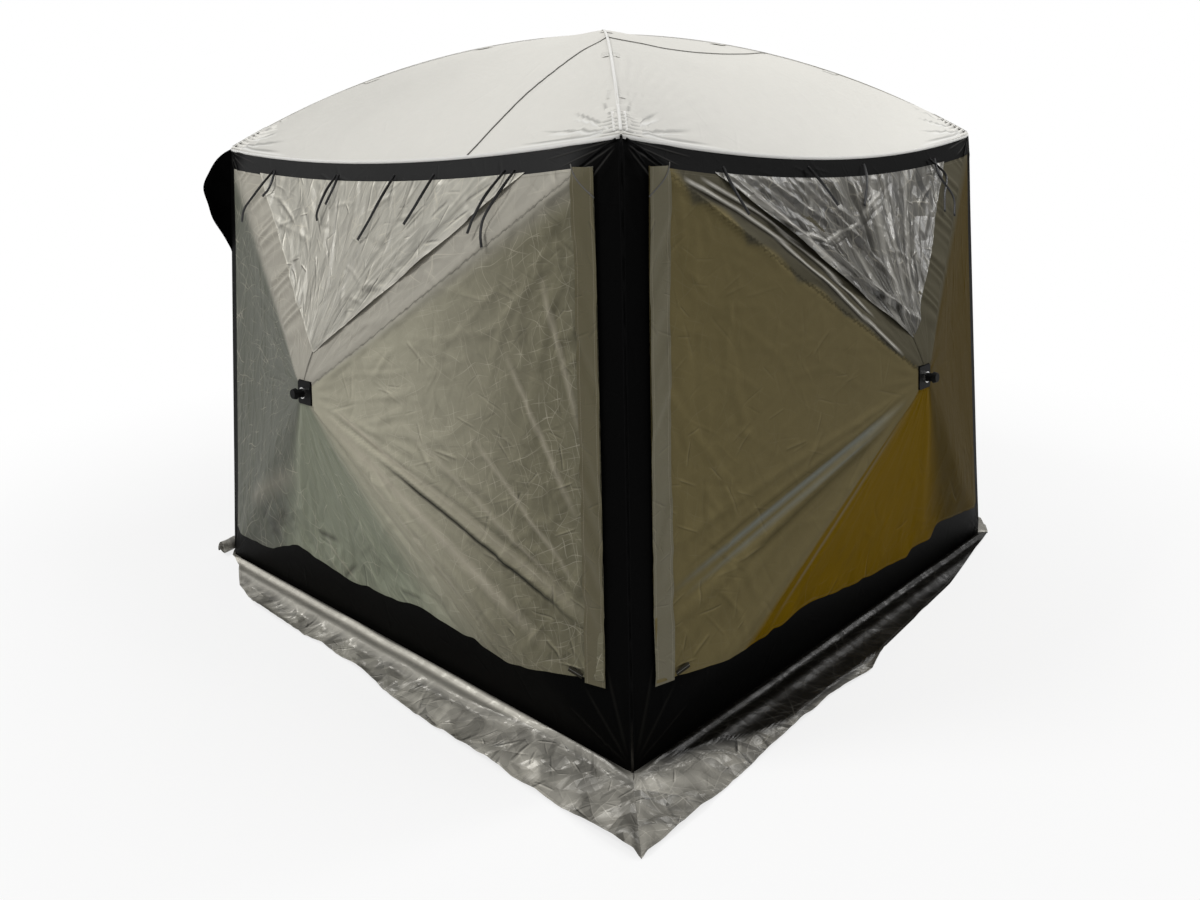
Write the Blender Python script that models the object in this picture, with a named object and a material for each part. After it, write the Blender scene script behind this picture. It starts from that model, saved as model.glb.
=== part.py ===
"""Four-sided pop-up screen tent: a flexing pole cage with one hub in each wall and one in the roof, a canopy,
black wall trim, insect screens, wind panels with window flaps, and a ground skirt. Metres, Z up."""

import math

import bmesh
import bpy
from mathutils import Matrix, Vector

# Main sizes of the tent.
eave_half = 1.05        # from the middle to the line of the top corners
base_half = 1.20        # from the middle to the line of the bottom corners
eave_height = 1.75
apex_height = 2.145
hub_up = 0.962          # height of a wall hub, along the leaning wall
hub_out = 0.312         # how far a wall hub stands out of the flat wall
eave_sag = 0.075
eave_push = 0.03        # how far the middle of the eave is pulled out
ridge_bow = 0.095

# Fabric.
cloth = 0.0015
layer_gap = 0.0008
piece_gap = 0.0003
hem_height = 0.0035     # bottom edge of the walls above the ground
trim_side, trim_top, trim_base = 0.14, 0.14, 0.26
panel_side, panel_top, panel_base = 0.097, 0.097, 0.15
hem_wave = 0.022
flap_edge = 0.105       # distance from a pole line to the edge of a window flap
flap_top = 0.105
flap_fold = 0.010
slack_out, slack_tall = 0.10, 0.40
skirt_width = 0.25
skirt_thick = 0.0022
skirt_wave = 0.012

# Hubs.
plate_half = 0.038
plate_thick = 0.006
hole_clear = 0.004
rim_drop = 0.006        # the fabric at the plate lies this far behind the plate's face
disc_radius = 0.056
disc_thick = 0.007
disc_depth = 0.020
tip_depth = 0.045
tip_reach = 0.052
cheek_near, cheek_far = 0.023, 0.076
cheek_thick = 0.004
nose_radius, nose_long = 0.015, 0.042
collar_radius, collar_thick = 0.0185, 0.008

# Poles.
rod_radius = 0.0055
eye_radius = 0.008
tip_radius = 0.007
side_gap = 0.0004
pin_radius = 0.0030
bore_radius = 0.00317
round_sides = 12        # sides of a pin and of its bore
pivot_back = 0.095      # from a corner of the wall to a pole's pivot
pivot_in = 0.018
roof_pivot_back = 0.070
roof_pivot_drop = 0.028
roof_pole_bow = 0.090
roof_tip_depth = 0.052

lean = math.atan2(base_half - eave_half, eave_height)
wall_long = math.hypot(base_half - eave_half, eave_height)
hole_half = plate_half + hole_clear
wall_names = ("front", "right", "back", "left")
corner_names = ("fr", "br", "bl", "fl")


def clear_scene():
    for old in list(bpy.data.objects):
        bpy.data.objects.remove(old, do_unlink=True)


def new_collection(name, hidden=False):
    made = bpy.data.collections.new(name)
    bpy.context.scene.collection.children.link(made)
    made.hide_render = hidden
    return made


def material(name, colour, roughness, metallic=0.0):
    made = bpy.data.materials.new(name)
    made.use_nodes = True
    shader = made.node_tree.nodes["Principled BSDF"]
    shader.inputs["Base Color"].default_value = (*colour, 1.0)
    shader.inputs["Roughness"].default_value = roughness
    shader.inputs["Metallic"].default_value = metallic
    return made


clear_scene()
tent = new_collection("screen_tent")
cutters = new_collection("cutters", hidden=True)
canopy_cloth = material("canopy_cloth", (0.66, 0.64, 0.60), 0.75)
black_cloth = material("black_cloth", (0.012, 0.012, 0.013), 0.80)
screen_net = material("screen_net", (0.03, 0.03, 0.03), 0.85)
panel_cloth = material("panel_cloth", (0.26, 0.24, 0.19), 0.70)
skirt_film = material("skirt_film", (0.30, 0.29, 0.27), 0.45)
rod_glass = material("rod_glass", (0.02, 0.02, 0.022), 0.35)
hub_plastic = material("hub_plastic", (0.015, 0.015, 0.016), 0.45)
bright_metal = material("bright_metal", (0.62, 0.62, 0.60), 0.25, 1.0)


def mesh_object(name, verts, faces, where, surface):
    mesh = bpy.data.meshes.new(name)
    mesh.from_pydata([tuple(v) for v in verts], [], faces)
    made = bpy.data.objects.new(name, mesh)
    made.data.materials.append(surface)
    where.objects.link(made)
    return made


def bm_object(name, bm, where, surface):
    mesh = bpy.data.meshes.new(name)
    bm.to_mesh(mesh)
    bm.free()
    made = bpy.data.objects.new(name, mesh)
    made.data.materials.append(surface)
    where.objects.link(made)
    return made


def box(name, size, matrix, surface, where=None):
    bm = bmesh.new()
    bmesh.ops.create_cube(bm, size=1.0)
    bmesh.ops.scale(bm, vec=size, verts=bm.verts)
    bmesh.ops.transform(bm, matrix=matrix, verts=bm.verts)
    return bm_object(name, bm, where or cutters, surface)


def cylinder(name, radius, depth, matrix, surface, sides=16, where=None, top=None):
    """A cylinder or cone along its own Z, from -depth/2 to depth/2."""
    bm = bmesh.new()
    bmesh.ops.create_cone(bm, cap_ends=True, segments=sides, radius1=radius,
                          radius2=radius if top is None else top, depth=depth)
    bmesh.ops.transform(bm, matrix=matrix, verts=bm.verts)
    return bm_object(name, bm, where or cutters, surface)


def combine(target, others, operation):
    """Applies Booleans to the target's mesh and removes the helpers."""
    for i, other in enumerate(others):
        modifier = target.modifiers.new(f"{operation.lower()}_{i}", "BOOLEAN")
        modifier.operation = operation
        modifier.solver = "EXACT"
        modifier.object = other
    bpy.context.view_layer.update()
    graph = bpy.context.evaluated_depsgraph_get()
    result = bpy.data.meshes.new_from_object(target.evaluated_get(graph))
    target.modifiers.clear()
    old = target.data
    target.data = result
    bpy.data.meshes.remove(old)
    for other in others:
        bpy.data.objects.remove(other, do_unlink=True)
    return target


def show(made, name):
    """Moves a finished helper into the tent's collection under its own name."""
    made.name = name
    made.data.name = name
    if made.name not in tent.objects:
        tent.objects.link(made)
    if made.name in cutters.objects:
        cutters.objects.unlink(made)
    return made


def frame_matrix(x_axis, y_axis, z_axis, origin):
    turned = Matrix((x_axis, y_axis, z_axis)).transposed().to_4x4()
    turned.translation = origin
    return turned


def place(made, matrix):
    made.location = matrix.to_translation()
    made.rotation_euler = matrix.to_euler()
    return made


# A wall's own frame: X to the right seen from outside, -Y outward from the leaning wall, Z up along it.
def wall_matrix(k):
    turn = Matrix.Rotation(k * math.pi / 2, 4, "Z")
    return turn @ Matrix.Translation((0, -base_half, 0)) @ Matrix.Rotation(-lean, 4, "X")


def wall_half(z):
    return base_half + (eave_half - base_half) * z / wall_long


def eave_line(s):
    """The eave's own sag (down) and push (outward) at s from -1 to 1 along it."""
    return eave_sag * (1 - s * s), eave_push * (1 - s * s)


# Rays from the hub's hole to the border. Some pass through the corners of the layers, the rest are spread between.
base_parts, side_parts, top_parts = 8, 4, 8
pole_slope = math.atan2(wall_long - hub_up, eave_half)


def inside_wall(x, z, side_inset, top_inset, base_inset):
    s = max(-1.0, min(1.0, x / eave_half))
    return (
        abs(x) < wall_half(z) - side_inset
        and z < wall_long - eave_line(s)[0] - top_inset
        and z > base_inset
    )


def upper_corner(side_inset, top_inset):
    """The point at both insets, found by walking down from the eave."""
    z = wall_long - top_inset
    for _ in range(20):
        x = wall_half(z) - side_inset
        z = wall_long - top_inset - eave_line(min(1.0, x / eave_half))[0]
    return x, z


def flap_corner(edge):
    """Where the line that runs edge metres below a pole line meets the flap's upper edge."""
    z = wall_long - flap_top
    for _ in range(40):
        x = (z - hub_up) / math.tan(pole_slope) - edge / math.sin(pole_slope)
        z = wall_long - flap_top - eave_line(x / eave_half)[0]
    return x, z


def ray_targets():
    right = [(base_half, hem_height), (eave_half, wall_long), flap_corner(flap_edge + 0.008)]
    for side_inset, top_inset, base_inset in ((panel_side, panel_top, panel_base), (trim_side, trim_top, trim_base)):
        right.append((wall_half(base_inset) - side_inset, base_inset))
        right.append(upper_corner(side_inset, top_inset))
    for i in range(1, side_parts):
        z = hem_height + (wall_long - hem_height) * i / side_parts
        right.append((wall_half(z), z))
    both = right + [(-x, z) for x, z in right]
    both += [(base_half * (2 * i / base_parts - 1), hem_height) for i in range(1, base_parts)]
    both += [(flap_corner(flap_edge)[0] * (2 * i / top_parts - 1), wall_long) for i in range(1, top_parts)]
    angles = sorted(math.atan2(z - hub_up, x) for x, z in both)
    kept = [angles[0]]
    for angle in angles[1:]:
        if angle - kept[-1] > 0.006:
            kept.append(angle)
    return kept


def wall_rays():
    rays = []
    for angle in ray_targets():
        heading = Vector((math.cos(angle), 0, math.sin(angle)))
        low, high = 0.1, 4.0
        for _ in range(50):
            middle = (low + high) / 2
            inside = inside_wall(heading.x * middle, hub_up + heading.z * middle, 0.00015, 0.0, hem_height)
            low, high = (middle, high) if inside else (low, middle)
        outer = Vector((0, 0, hub_up)) + heading * low
        down, out = eave_line(max(-1.0, min(1.0, outer.x / eave_half)))
        on_top = outer.z > wall_long - down - 0.001
        if on_top:
            outer.y = -out
        scale = hole_half / max(abs(heading.x), abs(heading.z))
        inner = Vector((heading.x * scale, -(hub_out - rim_drop), hub_up + heading.z * scale))
        rays.append(("top" if on_top else "other", inner, outer))
    return rays


rays = wall_rays()


def reach(ray, side_inset, top_inset, base_inset):
    """How far along a ray, from 0 at the hub to 1 at the border, it stays inside the given insets."""
    _, inner, outer = ray
    low, high = 0.0, 1.0
    for _ in range(40):
        middle = (low + high) / 2
        point = inner.lerp(outer, middle)
        inside = inside_wall(point.x, point.z, side_inset, top_inset, base_inset)
        low, high = (middle, high) if inside else (low, middle)
    return low


def ring_solid(name, inner_rows, outer_rows, surface, closed=True):
    """A closed skin between two stacks of point rows: each stack is a list of rows with one point per ray."""
    steps, count = len(inner_rows), len(inner_rows[0])
    verts = [p for row in inner_rows for p in row] + [p for row in outer_rows for p in row]
    shift = steps * count
    faces = []
    last = count if closed else count - 1
    for i in range(steps - 1):
        for j in range(last):
            a, b = i * count + j, i * count + (j + 1) % count
            c, d = a + count, b + count
            faces.append((a, b, d, c))
            faces.append((shift + a, shift + c, shift + d, shift + b))
    for j in range(last):
        a, b = j, (j + 1) % count
        faces.append((a, shift + a, shift + b, b))
        a, b = (steps - 1) * count + j, (steps - 1) * count + (j + 1) % count
        faces.append((a, b, shift + b, shift + a))
    if not closed:
        for i in range(steps - 1):
            a, c = i * count, (i + 1) * count
            faces.append((a, c, shift + c, shift + a))
            a, c = a + count - 1, c + count - 1
            faces.append((a, shift + a, shift + c, c))
    made = mesh_object(name, verts, faces, tent, surface)
    bm = bmesh.new()
    bm.from_mesh(made.data)
    bmesh.ops.recalc_face_normals(bm, faces=bm.faces)
    if bm.calc_volume(signed=True) < 0:
        bmesh.ops.reverse_faces(bm, faces=bm.faces)
    bm.to_mesh(made.data)
    bm.free()
    return made


def wall_layer(name, reaches, level, surface, extra=None):
    """One layer of a wall through the given rows of reaches, level metres outside the wall's own surface."""
    rows_in, rows_out = [], []
    for reach_row in reaches:
        row_in, row_out = [], []
        for ray, t in zip(rays, reach_row):
            point = ray[1].lerp(ray[2], t)
            lift = extra(ray, t, point) if extra else 0.0
            row_in.append(point + Vector((0, -level - lift, 0)))
            row_out.append(point + Vector((0, -level - lift - cloth, 0)))
        rows_in.append(row_in)
        rows_out.append(row_out)
    return ring_solid(name, rows_in, rows_out, surface)


def hem(ray):
    """The wind panel's hem waves up and down along the wall."""
    x = ray[2].x / base_half
    return panel_base + hem_wave * (math.sin(9.0 * x + 0.6) + 0.5 * math.sin(21.0 * x)) * (1 - x * x)


def slack_corner(ray, t, point):
    """The slack corner of the left wall's trim stands out beside the front wall, near the eave."""
    free = panel_side - 0.004
    across = (point.x - (wall_half(point.z) - free)) / free
    down = (wall_long - point.z) / slack_tall
    if across <= 0 or across >= 0.99 or down <= 0 or down >= 1:
        return 0.0
    return slack_out * math.sin(math.pi * across) * math.sin(math.pi * down) ** 0.6


trim_start = [reach(ray, trim_side, trim_top, trim_base) for ray in rays]
trim_edge = [reach(ray, panel_side - 0.002, panel_top - 0.002, panel_base) for ray in rays]
screen_end = [t - piece_gap / (ray[2] - ray[1]).length for ray, t in zip(rays, trim_start)]
panel_end = [reach(ray, panel_side, panel_top, hem(ray)) for ray in rays]
trim_fold = [reach(ray, panel_side * 0.42, panel_top * 0.42, panel_base * 0.4) for ray in rays]
at_hub, at_border = [0.0] * len(rays), [1.0] * len(rays)
for k, wall in enumerate(wall_names):
    where = wall_matrix(k)
    slack = wall == "left"
    trim_rows = (trim_start, trim_edge, trim_fold, at_border) if slack else (trim_start, trim_edge, at_border)
    trim = wall_layer(f"wall_trim_{wall}", trim_rows, 0.0, black_cloth, slack_corner if slack else None)
    net = wall_layer(f"screen_{wall}", (at_hub, screen_end), 0.0, screen_net)
    panel = wall_layer(f"wind_panel_{wall}", (at_hub, panel_end), cloth + layer_gap, panel_cloth)
    for made in (trim, net, panel):
        place(made, where)


# The window flap covers the middle of the top facet and hangs from its upper edge.
def flap_rows(level):
    rows_in, rows_out = [], []
    limit = flap_corner(flap_edge + 0.007)
    widest = limit[0] / (limit[1] - hub_up)
    kept = []
    for ray in rays:
        heading = Vector((ray[2].x, 0, ray[2].z - hub_up))
        if ray[0] != "top" or abs(heading.x / heading.z) > widest:
            continue
        angle = math.atan2(heading.z, abs(heading.x)) - pole_slope
        from_hub = flap_edge / math.sin(angle)
        near = math.hypot(ray[1].x, ray[1].z - hub_up)
        start = (from_hub - near) / (heading.length - near)
        kept.append((ray, start, reach(ray, 0.02, flap_top, 0.3)))
    steps = 5
    for i in range(steps + 1):
        row_in, row_out = [], []
        for ray, start, end in kept:
            t = start + (end - start) * i / steps
            point = ray[1].lerp(ray[2], t)
            ripple = math.sin(14.0 * point.x + 5.0 * point.z)
            lift = flap_fold * (1 - (i / steps) ** 2) * (1 + ripple) / 2
            row_in.append(point + Vector((0, -level - lift, 0)))
            row_out.append(point + Vector((0, -level - lift - cloth, 0)))
        rows_in.append(row_in)
        rows_out.append(row_out)
    return rows_in, rows_out


flap_level = 2 * cloth + 2 * layer_gap
flap_in, flap_out = flap_rows(flap_level)
flap_ends = [row[i] for row in flap_in for i in (0, -1)]
flap_hinge_z = max(p.z for p in flap_ends)
flap_hinge = Vector((0, max(p.y for p in flap_in[-1]), flap_hinge_z))
for k, wall in enumerate(wall_names):
    shifted_in = [[p - flap_hinge for p in row] for row in flap_in]
    shifted_out = [[p - flap_hinge for p in row] for row in flap_out]
    flap = ring_solid(f"window_flap_{wall}", shifted_in, shifted_out, panel_cloth, closed=False)
    place(flap, wall_matrix(k) @ Matrix.Translation(flap_hinge))


# Canopy: rays from the roof hub's hole to the eave, with the ridges bowed up and the gores sagging between them.
canopy_count = 12
canopy_lift = 0.0010     # the canopy lies this far above the walls' upper edge


def canopy_height(share, s):
    sag = eave_sag * (1 - s * s) * share ** 1.5
    return apex_height + (eave_height - apex_height) * share + 4 * ridge_bow * share * (1 - share) - sag


def canopy_rows(steps, lift):
    rows = []
    inner = (plate_half + hole_clear) / eave_half
    for i in range(steps + 1):
        share = inner + (1 - inner) * (i / steps) ** 0.9
        row = []
        for k in range(4):
            turn = Matrix.Rotation(k * math.pi / 2, 3, "Z")
            for j in range(canopy_count):
                s = -1 + 2 * j / canopy_count
                push = eave_line(s)[1] * share ** 2
                out = eave_half * share + push
                row.append(turn @ Vector((s * eave_half * share, -out, canopy_height(share, s) + lift)))
        rows.append(row)
    return rows


canopy = ring_solid("roof_canopy", canopy_rows(7, canopy_lift), canopy_rows(7, canopy_lift + cloth), canopy_cloth)


# Ground skirt: one flat ring with mitred corners that ripples a little on the ground.
skirt_steps, skirt_count = 3, 14


def skirt_rows(top):
    rows = []
    for i in range(skirt_steps + 1):
        share = i / skirt_steps
        row = []
        for k in range(4):
            turn = Matrix.Rotation(k * math.pi / 2, 3, "Z")
            for j in range(skirt_count):
                s = -1 + 2 * j / skirt_count
                half = base_half - 0.004 + (skirt_width + 0.004) * share
                ripple = 0.5 + 0.5 * math.sin(11.0 * s + 1.7 * k)
                high = skirt_wave * ripple * math.sin(math.pi * share) ** 2 * (1 - s * s)
                row.append(turn @ Vector((s * half, -half, high + (skirt_thick if top else 0.0))))
        rows.append(row)
    return rows


skirt = ring_solid("ground_skirt", skirt_rows(False), skirt_rows(True), skirt_film)


# Directions and pivots of the wall poles in a wall's own frame, for +X and mirrored for -X.
def wall_pole_ends(upper, right):
    corner = Vector((eave_half, 0, wall_long)) if upper else Vector((base_half, 0, 0))
    along = Vector((corner.x, 0, corner.z - hub_up)).normalized()
    pivot = corner - along * pivot_back + Vector((0, pivot_in, 0))
    tip = Vector((0, -(hub_out - tip_depth), hub_up)) + along * tip_reach
    if not right:
        pivot.x, tip.x = -pivot.x, -tip.x
    return pivot, tip


def pole_mesh(name, long, bow, surface):
    """A rod along +X with a drilled eye at the origin and a ferrule at its far end, bowed towards +Z."""
    stations = [(-0.0090, 0.0052), (-0.0065, eye_radius), (0.045, eye_radius), (0.0455, rod_radius)]
    middle = 9 if bow else 2
    for i in range(1, middle):
        stations.append((0.0455 + (long - 0.0855) * i / middle, rod_radius))
    stations += [(long - 0.0405, rod_radius), (long - 0.040, tip_radius), (long - 0.002, tip_radius), (long, 0.005)]
    curve = bpy.data.curves.new(name, "CURVE")
    curve.dimensions = "3D"
    curve.bevel_depth = rod_radius
    curve.bevel_resolution = 2
    curve.use_fill_caps = True
    spline = curve.splines.new("POLY")
    spline.points.add(len(stations) - 1)
    for point, (x, radius) in zip(spline.points, stations):
        share = min(1.0, max(0.0, x / long))
        point.co = (x, 0, 4 * bow * share * (1 - share), 1)
        point.radius = radius / rod_radius
    made = bpy.data.objects.new(name + "_curve", curve)
    cutters.objects.link(made)
    bpy.context.view_layer.update()
    graph = bpy.context.evaluated_depsgraph_get()
    mesh = bpy.data.meshes.new_from_object(made.evaluated_get(graph))
    bpy.data.objects.remove(made, do_unlink=True)
    mesh.materials.clear()
    rod = bpy.data.objects.new(name, mesh)
    rod.data.materials.append(surface)
    tent.objects.link(rod)
    bm = bmesh.new()
    bm.from_mesh(mesh)
    bmesh.ops.remove_doubles(bm, verts=bm.verts, dist=0.00001)
    bmesh.ops.recalc_face_normals(bm, faces=bm.faces)
    bm.to_mesh(mesh)
    bm.free()
    drill = cylinder(name + "_drill", bore_radius, 0.03, Matrix.Rotation(math.pi / 2, 4, "X"), surface,
                     sides=round_sides)
    return combine(rod, [drill], "DIFFERENCE")


def pole_frame(pivot, tip, up):
    x_axis = (tip - pivot).normalized()
    y_axis = up.cross(x_axis).normalized()
    return frame_matrix(x_axis, y_axis, x_axis.cross(y_axis), pivot)


corner_ends = {(name, level): [] for name in corner_names for level in ("top", "foot")}
for k, wall in enumerate(wall_names):
    where = wall_matrix(k)
    outward = where.to_3x3() @ Vector((0, -1, 0))
    for upper in (True, False):
        for right in (True, False):
            pivot, tip = wall_pole_ends(upper, right)
            matrix = pole_frame(where @ pivot, where @ tip, outward)
            name = f"wall_pole_{wall}_{'u' if upper else 'l'}{'r' if right else 'l'}"
            rod = pole_mesh(name, (tip - pivot).length, 0.0, rod_glass)
            place(rod, matrix)
            corner = corner_names[k if right else (k - 1) % 4]
            corner_ends[(corner, "top" if upper else "foot")].append(matrix)

roof_share = 1 - roof_pivot_back / (eave_half * math.sqrt(2))
roof_pivot_z = canopy_height(roof_share, 1.0) - roof_pivot_drop
for k, corner in enumerate(corner_names):
    turn = Matrix.Rotation(k * math.pi / 2, 3, "Z")
    diagonal = turn @ Vector((1, -1, 0)).normalized()
    pivot = diagonal * (eave_half * math.sqrt(2) - roof_pivot_back) + Vector((0, 0, roof_pivot_z))
    tip = diagonal * tip_reach + Vector((0, 0, apex_height - roof_tip_depth))
    matrix = pole_frame(pivot, tip, Vector((0, 0, 1)))
    rod = pole_mesh(f"roof_pole_{corner}", (tip - pivot).length, roof_pole_bow, rod_glass)
    place(rod, matrix)
    corner_ends[(corner, "top")].append(matrix)


# Corner brackets: a core with a drilled fork and pin for each pole end, and a lug that meets the sewn corner.
def fork(matrix, core, reach_past=0.010):
    """The two cheeks, bridge and pin that hold one pole's eye, as separate overlapping solids."""
    pivot = matrix.to_translation()
    axis = (matrix.to_3x3() @ Vector((0, 1, 0))).normalized()
    back = core - pivot
    back -= axis * back.dot(axis)
    long = back.length
    back.normalize()
    third = back.cross(axis)
    parts = []
    inner = eye_radius + side_gap
    for side in (1, -1):
        middle = pivot + axis * side * (inner + cheek_thick / 2) + back * (0.030 - reach_past) / 2
        turned = frame_matrix(back, axis, third, middle)
        parts.append(box("cheek", (0.030 + reach_past, cheek_thick, 0.018), turned, hub_plastic))
    near = 0.0150
    far = max(long, near + 0.012)
    turned = frame_matrix(back, axis, third, pivot + back * (near + far) / 2)
    parts.append(box("bridge", (far - near, 2 * inner + 2 * cheek_thick - 0.0006, 0.0176), turned, hub_plastic))
    turned = frame_matrix(third, back, axis, pivot)
    parts.append(cylinder("pin", pin_radius, 2 * inner + 2 * cheek_thick + 0.004, turned, hub_plastic,
                          sides=round_sides))
    return parts


def half_at(z):
    return base_half + (eave_half - base_half) * z / eave_height


for k, corner in enumerate(corner_names):
    turn = Matrix.Rotation(k * math.pi / 2, 4, "Z")
    side = Vector((1, -1, 0))
    core_top = roof_pivot_z - 0.0145
    core = turn @ (side * (eave_half - 0.045) + Vector((0, 0, core_top - 0.012)))
    body = cylinder("core", 0.022, 0.054, turn @ Matrix.Translation(
        side * (eave_half - 0.045) + Vector((0, 0, core_top - 0.027))), hub_plastic, sides=12)
    lug_low, lug_high = eave_height - 0.058, eave_height - 0.018
    lug_far = half_at(lug_high) - 0.0005
    lug_near = eave_half - 0.050
    lug = box("lug", (lug_far - lug_near, lug_far - lug_near, lug_high - lug_low), turn @ Matrix.Translation(
        side * (lug_far + lug_near) / 2 + Vector((0, 0, (lug_low + lug_high) / 2))), hub_plastic)
    parts = [lug]
    for matrix in corner_ends[(corner, "top")]:
        parts += fork(matrix, core)
    show(combine(body, parts, "UNION"), f"top_bracket_{corner}")

    core = turn @ (side * (base_half - 0.040) + Vector((0, 0, 0.028)))
    pad_near, pad_far = base_half - 0.110, base_half - 0.0055
    body = box("pad", (pad_far - pad_near, pad_far - pad_near, 0.010), turn @ Matrix.Translation(
        side * (pad_far + pad_near) / 2 + Vector((0, 0, 0.005))), hub_plastic)
    lug_low, lug_high = 0.0045, 0.045
    lug_near, lug_far = base_half - 0.058, half_at(lug_high) - 0.0005
    lug = box("lug", (lug_far - lug_near, lug_far - lug_near, lug_high - lug_low), turn @ Matrix.Translation(
        side * (lug_far + lug_near) / 2 + Vector((0, 0, (lug_low + lug_high) / 2))), hub_plastic)
    parts = [lug]
    for matrix in corner_ends[(corner, "foot")]:
        parts += fork(matrix, core)
    show(combine(body, parts, "UNION"), f"foot_bracket_{corner}")


# Hubs: a disc with four open forks behind the fabric, and a plate with a nose and bright collar in front of it.
def hub_body(name, directions, low, high, stem_top):
    """Made along +Z (outward), origin on the hub's axis at the plate's face."""
    disc = cylinder(name, disc_radius, disc_thick, Matrix.Translation((0, 0, -disc_depth - disc_thick / 2)),
                    hub_plastic, sides=24)
    parts = [cylinder("stem", 0.020, disc_depth + stem_top + 0.002, Matrix.Translation(
        (0, 0, (stem_top - disc_depth - 0.002) / 2)), hub_plastic, sides=16)]
    inner = tip_radius + side_gap
    for direction in directions:
        across = Vector((-direction.y, direction.x, 0))
        for side in (1, -1):
            middle = direction * (cheek_near + cheek_far) / 2 + across * side * (inner + cheek_thick / 2)
            middle.z = (low + high) / 2
            turned = frame_matrix(direction, across, Vector((0, 0, 1)), middle)
            parts.append(box("cheek", (cheek_far - cheek_near, cheek_thick, high - low), turned, hub_plastic))
    return combine(disc, parts, "UNION")


def hub_plate(name, thick):
    bm = bmesh.new()
    bmesh.ops.create_cube(bm, size=1.0)
    bmesh.ops.scale(bm, vec=(2 * plate_half, 2 * plate_half, thick), verts=bm.verts)
    bmesh.ops.translate(bm, vec=(0, 0, -thick / 2), verts=bm.verts)
    upright = [e for e in bm.edges if abs(e.verts[0].co.z - e.verts[1].co.z) > thick / 2]
    bmesh.ops.bevel(bm, geom=upright, offset=0.008, segments=3, profile=0.5, affect="EDGES")
    return bm_object(name, bm, cutters, hub_plastic)


def facing(k, upright):
    """The matrix that turns a hub made along +Z to face out of wall k, or up for the roof hub."""
    if upright:
        return Matrix.Translation((0, 0, apex_height))
    return wall_matrix(k) @ Matrix.Translation((0, -hub_out, hub_up)) @ Matrix.Rotation(math.pi / 2, 4, "X")


stem_end = -plate_thick - piece_gap
for k, wall in enumerate(wall_names):
    directions = []
    for upper in (True, False):
        for right in (True, False):
            pivot, tip = wall_pole_ends(upper, right)
            directions.append(Vector((tip.x, tip.z - hub_up, 0)).normalized())
    body = hub_body("body", directions, -tip_depth - 0.014, -disc_depth - 0.002, stem_end)
    place(show(body, f"wall_hub_{wall}"), facing(k, False))
    plate = hub_plate("plate", plate_thick)
    nose_bottom = -0.001
    nose = cylinder("nose", nose_radius, nose_long - nose_bottom, Matrix.Translation(
        (0, 0, (nose_long + nose_bottom) / 2)), hub_plastic, sides=16, top=nose_radius * 0.86)
    bead = cylinder("bead", nose_radius * 1.25, 0.012, Matrix.Translation(
        (0, 0, nose_long - 0.006)), hub_plastic, sides=16, top=nose_radius * 1.0)
    place(show(combine(plate, [nose, bead], "UNION"), f"hub_plate_{wall}"), facing(k, False))
    ring = cylinder("ring", collar_radius, collar_thick, Matrix.Translation(
        (0, 0, piece_gap + collar_thick / 2)), bright_metal, sides=16)
    hole = cylinder("hole", nose_radius + piece_gap, 0.05, Matrix.Identity(4), bright_metal, sides=16)
    place(show(combine(ring, [hole], "DIFFERENCE"), f"hub_collar_{wall}"), facing(k, False))

roof_directions = [Vector((math.cos(a), math.sin(a), 0)) for a in (-0.25 * math.pi, 0.25 * math.pi,
                                                                    0.75 * math.pi, -0.75 * math.pi)]
body = hub_body("body", roof_directions, -roof_tip_depth - 0.014, -disc_depth - 0.002, stem_end)
place(show(body, "roof_hub"), facing(0, True))
cap = hub_plate("cap", plate_thick)
knob = cylinder("knob", 0.022, 0.006, Matrix.Translation((0, 0, 0.002)), hub_plastic, sides=20, top=0.016)
place(show(combine(cap, [knob], "UNION"), "roof_cap"), facing(0, True))
cutters.hide_render = True
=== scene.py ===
# Screen tent: hangs the canopy, walls, flaps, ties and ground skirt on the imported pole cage, and lights it.
import math

import bpy
import numpy as np
from mathutils import Matrix


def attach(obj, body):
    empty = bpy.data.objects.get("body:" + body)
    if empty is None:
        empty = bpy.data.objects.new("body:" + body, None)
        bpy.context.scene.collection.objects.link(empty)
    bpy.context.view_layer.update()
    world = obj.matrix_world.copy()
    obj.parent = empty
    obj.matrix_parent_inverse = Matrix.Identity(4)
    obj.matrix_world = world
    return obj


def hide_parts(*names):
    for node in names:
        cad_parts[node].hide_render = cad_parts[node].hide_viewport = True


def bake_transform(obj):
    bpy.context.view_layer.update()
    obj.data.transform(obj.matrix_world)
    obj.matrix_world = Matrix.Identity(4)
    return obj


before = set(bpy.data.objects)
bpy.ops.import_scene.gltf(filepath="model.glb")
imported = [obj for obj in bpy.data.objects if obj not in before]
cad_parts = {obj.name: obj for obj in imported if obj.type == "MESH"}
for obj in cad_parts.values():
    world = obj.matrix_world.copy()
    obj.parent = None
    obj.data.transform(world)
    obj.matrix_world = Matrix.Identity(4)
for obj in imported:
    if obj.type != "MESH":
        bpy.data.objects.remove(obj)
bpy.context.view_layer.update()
scene = bpy.context.scene


def standAt(thing, right, up, back, place):
    # a camera or lamp with its own right, up and backward directions
    scene.collection.objects.link(thing)
    thing.matrix_world = Matrix([[right[i], up[i], back[i], place[i]] for i in range(3)] + [[0, 0, 0, 1]])


# place in metres, yaw, pitch and roll in radians, focal length in millimetres
cameraSet = {"place": (2.7681, -2.9486, 1.7069), "yaw": 0.7628, "pitch": 0.3012, "roll": 0.0204, "lens": 28.714}


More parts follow.
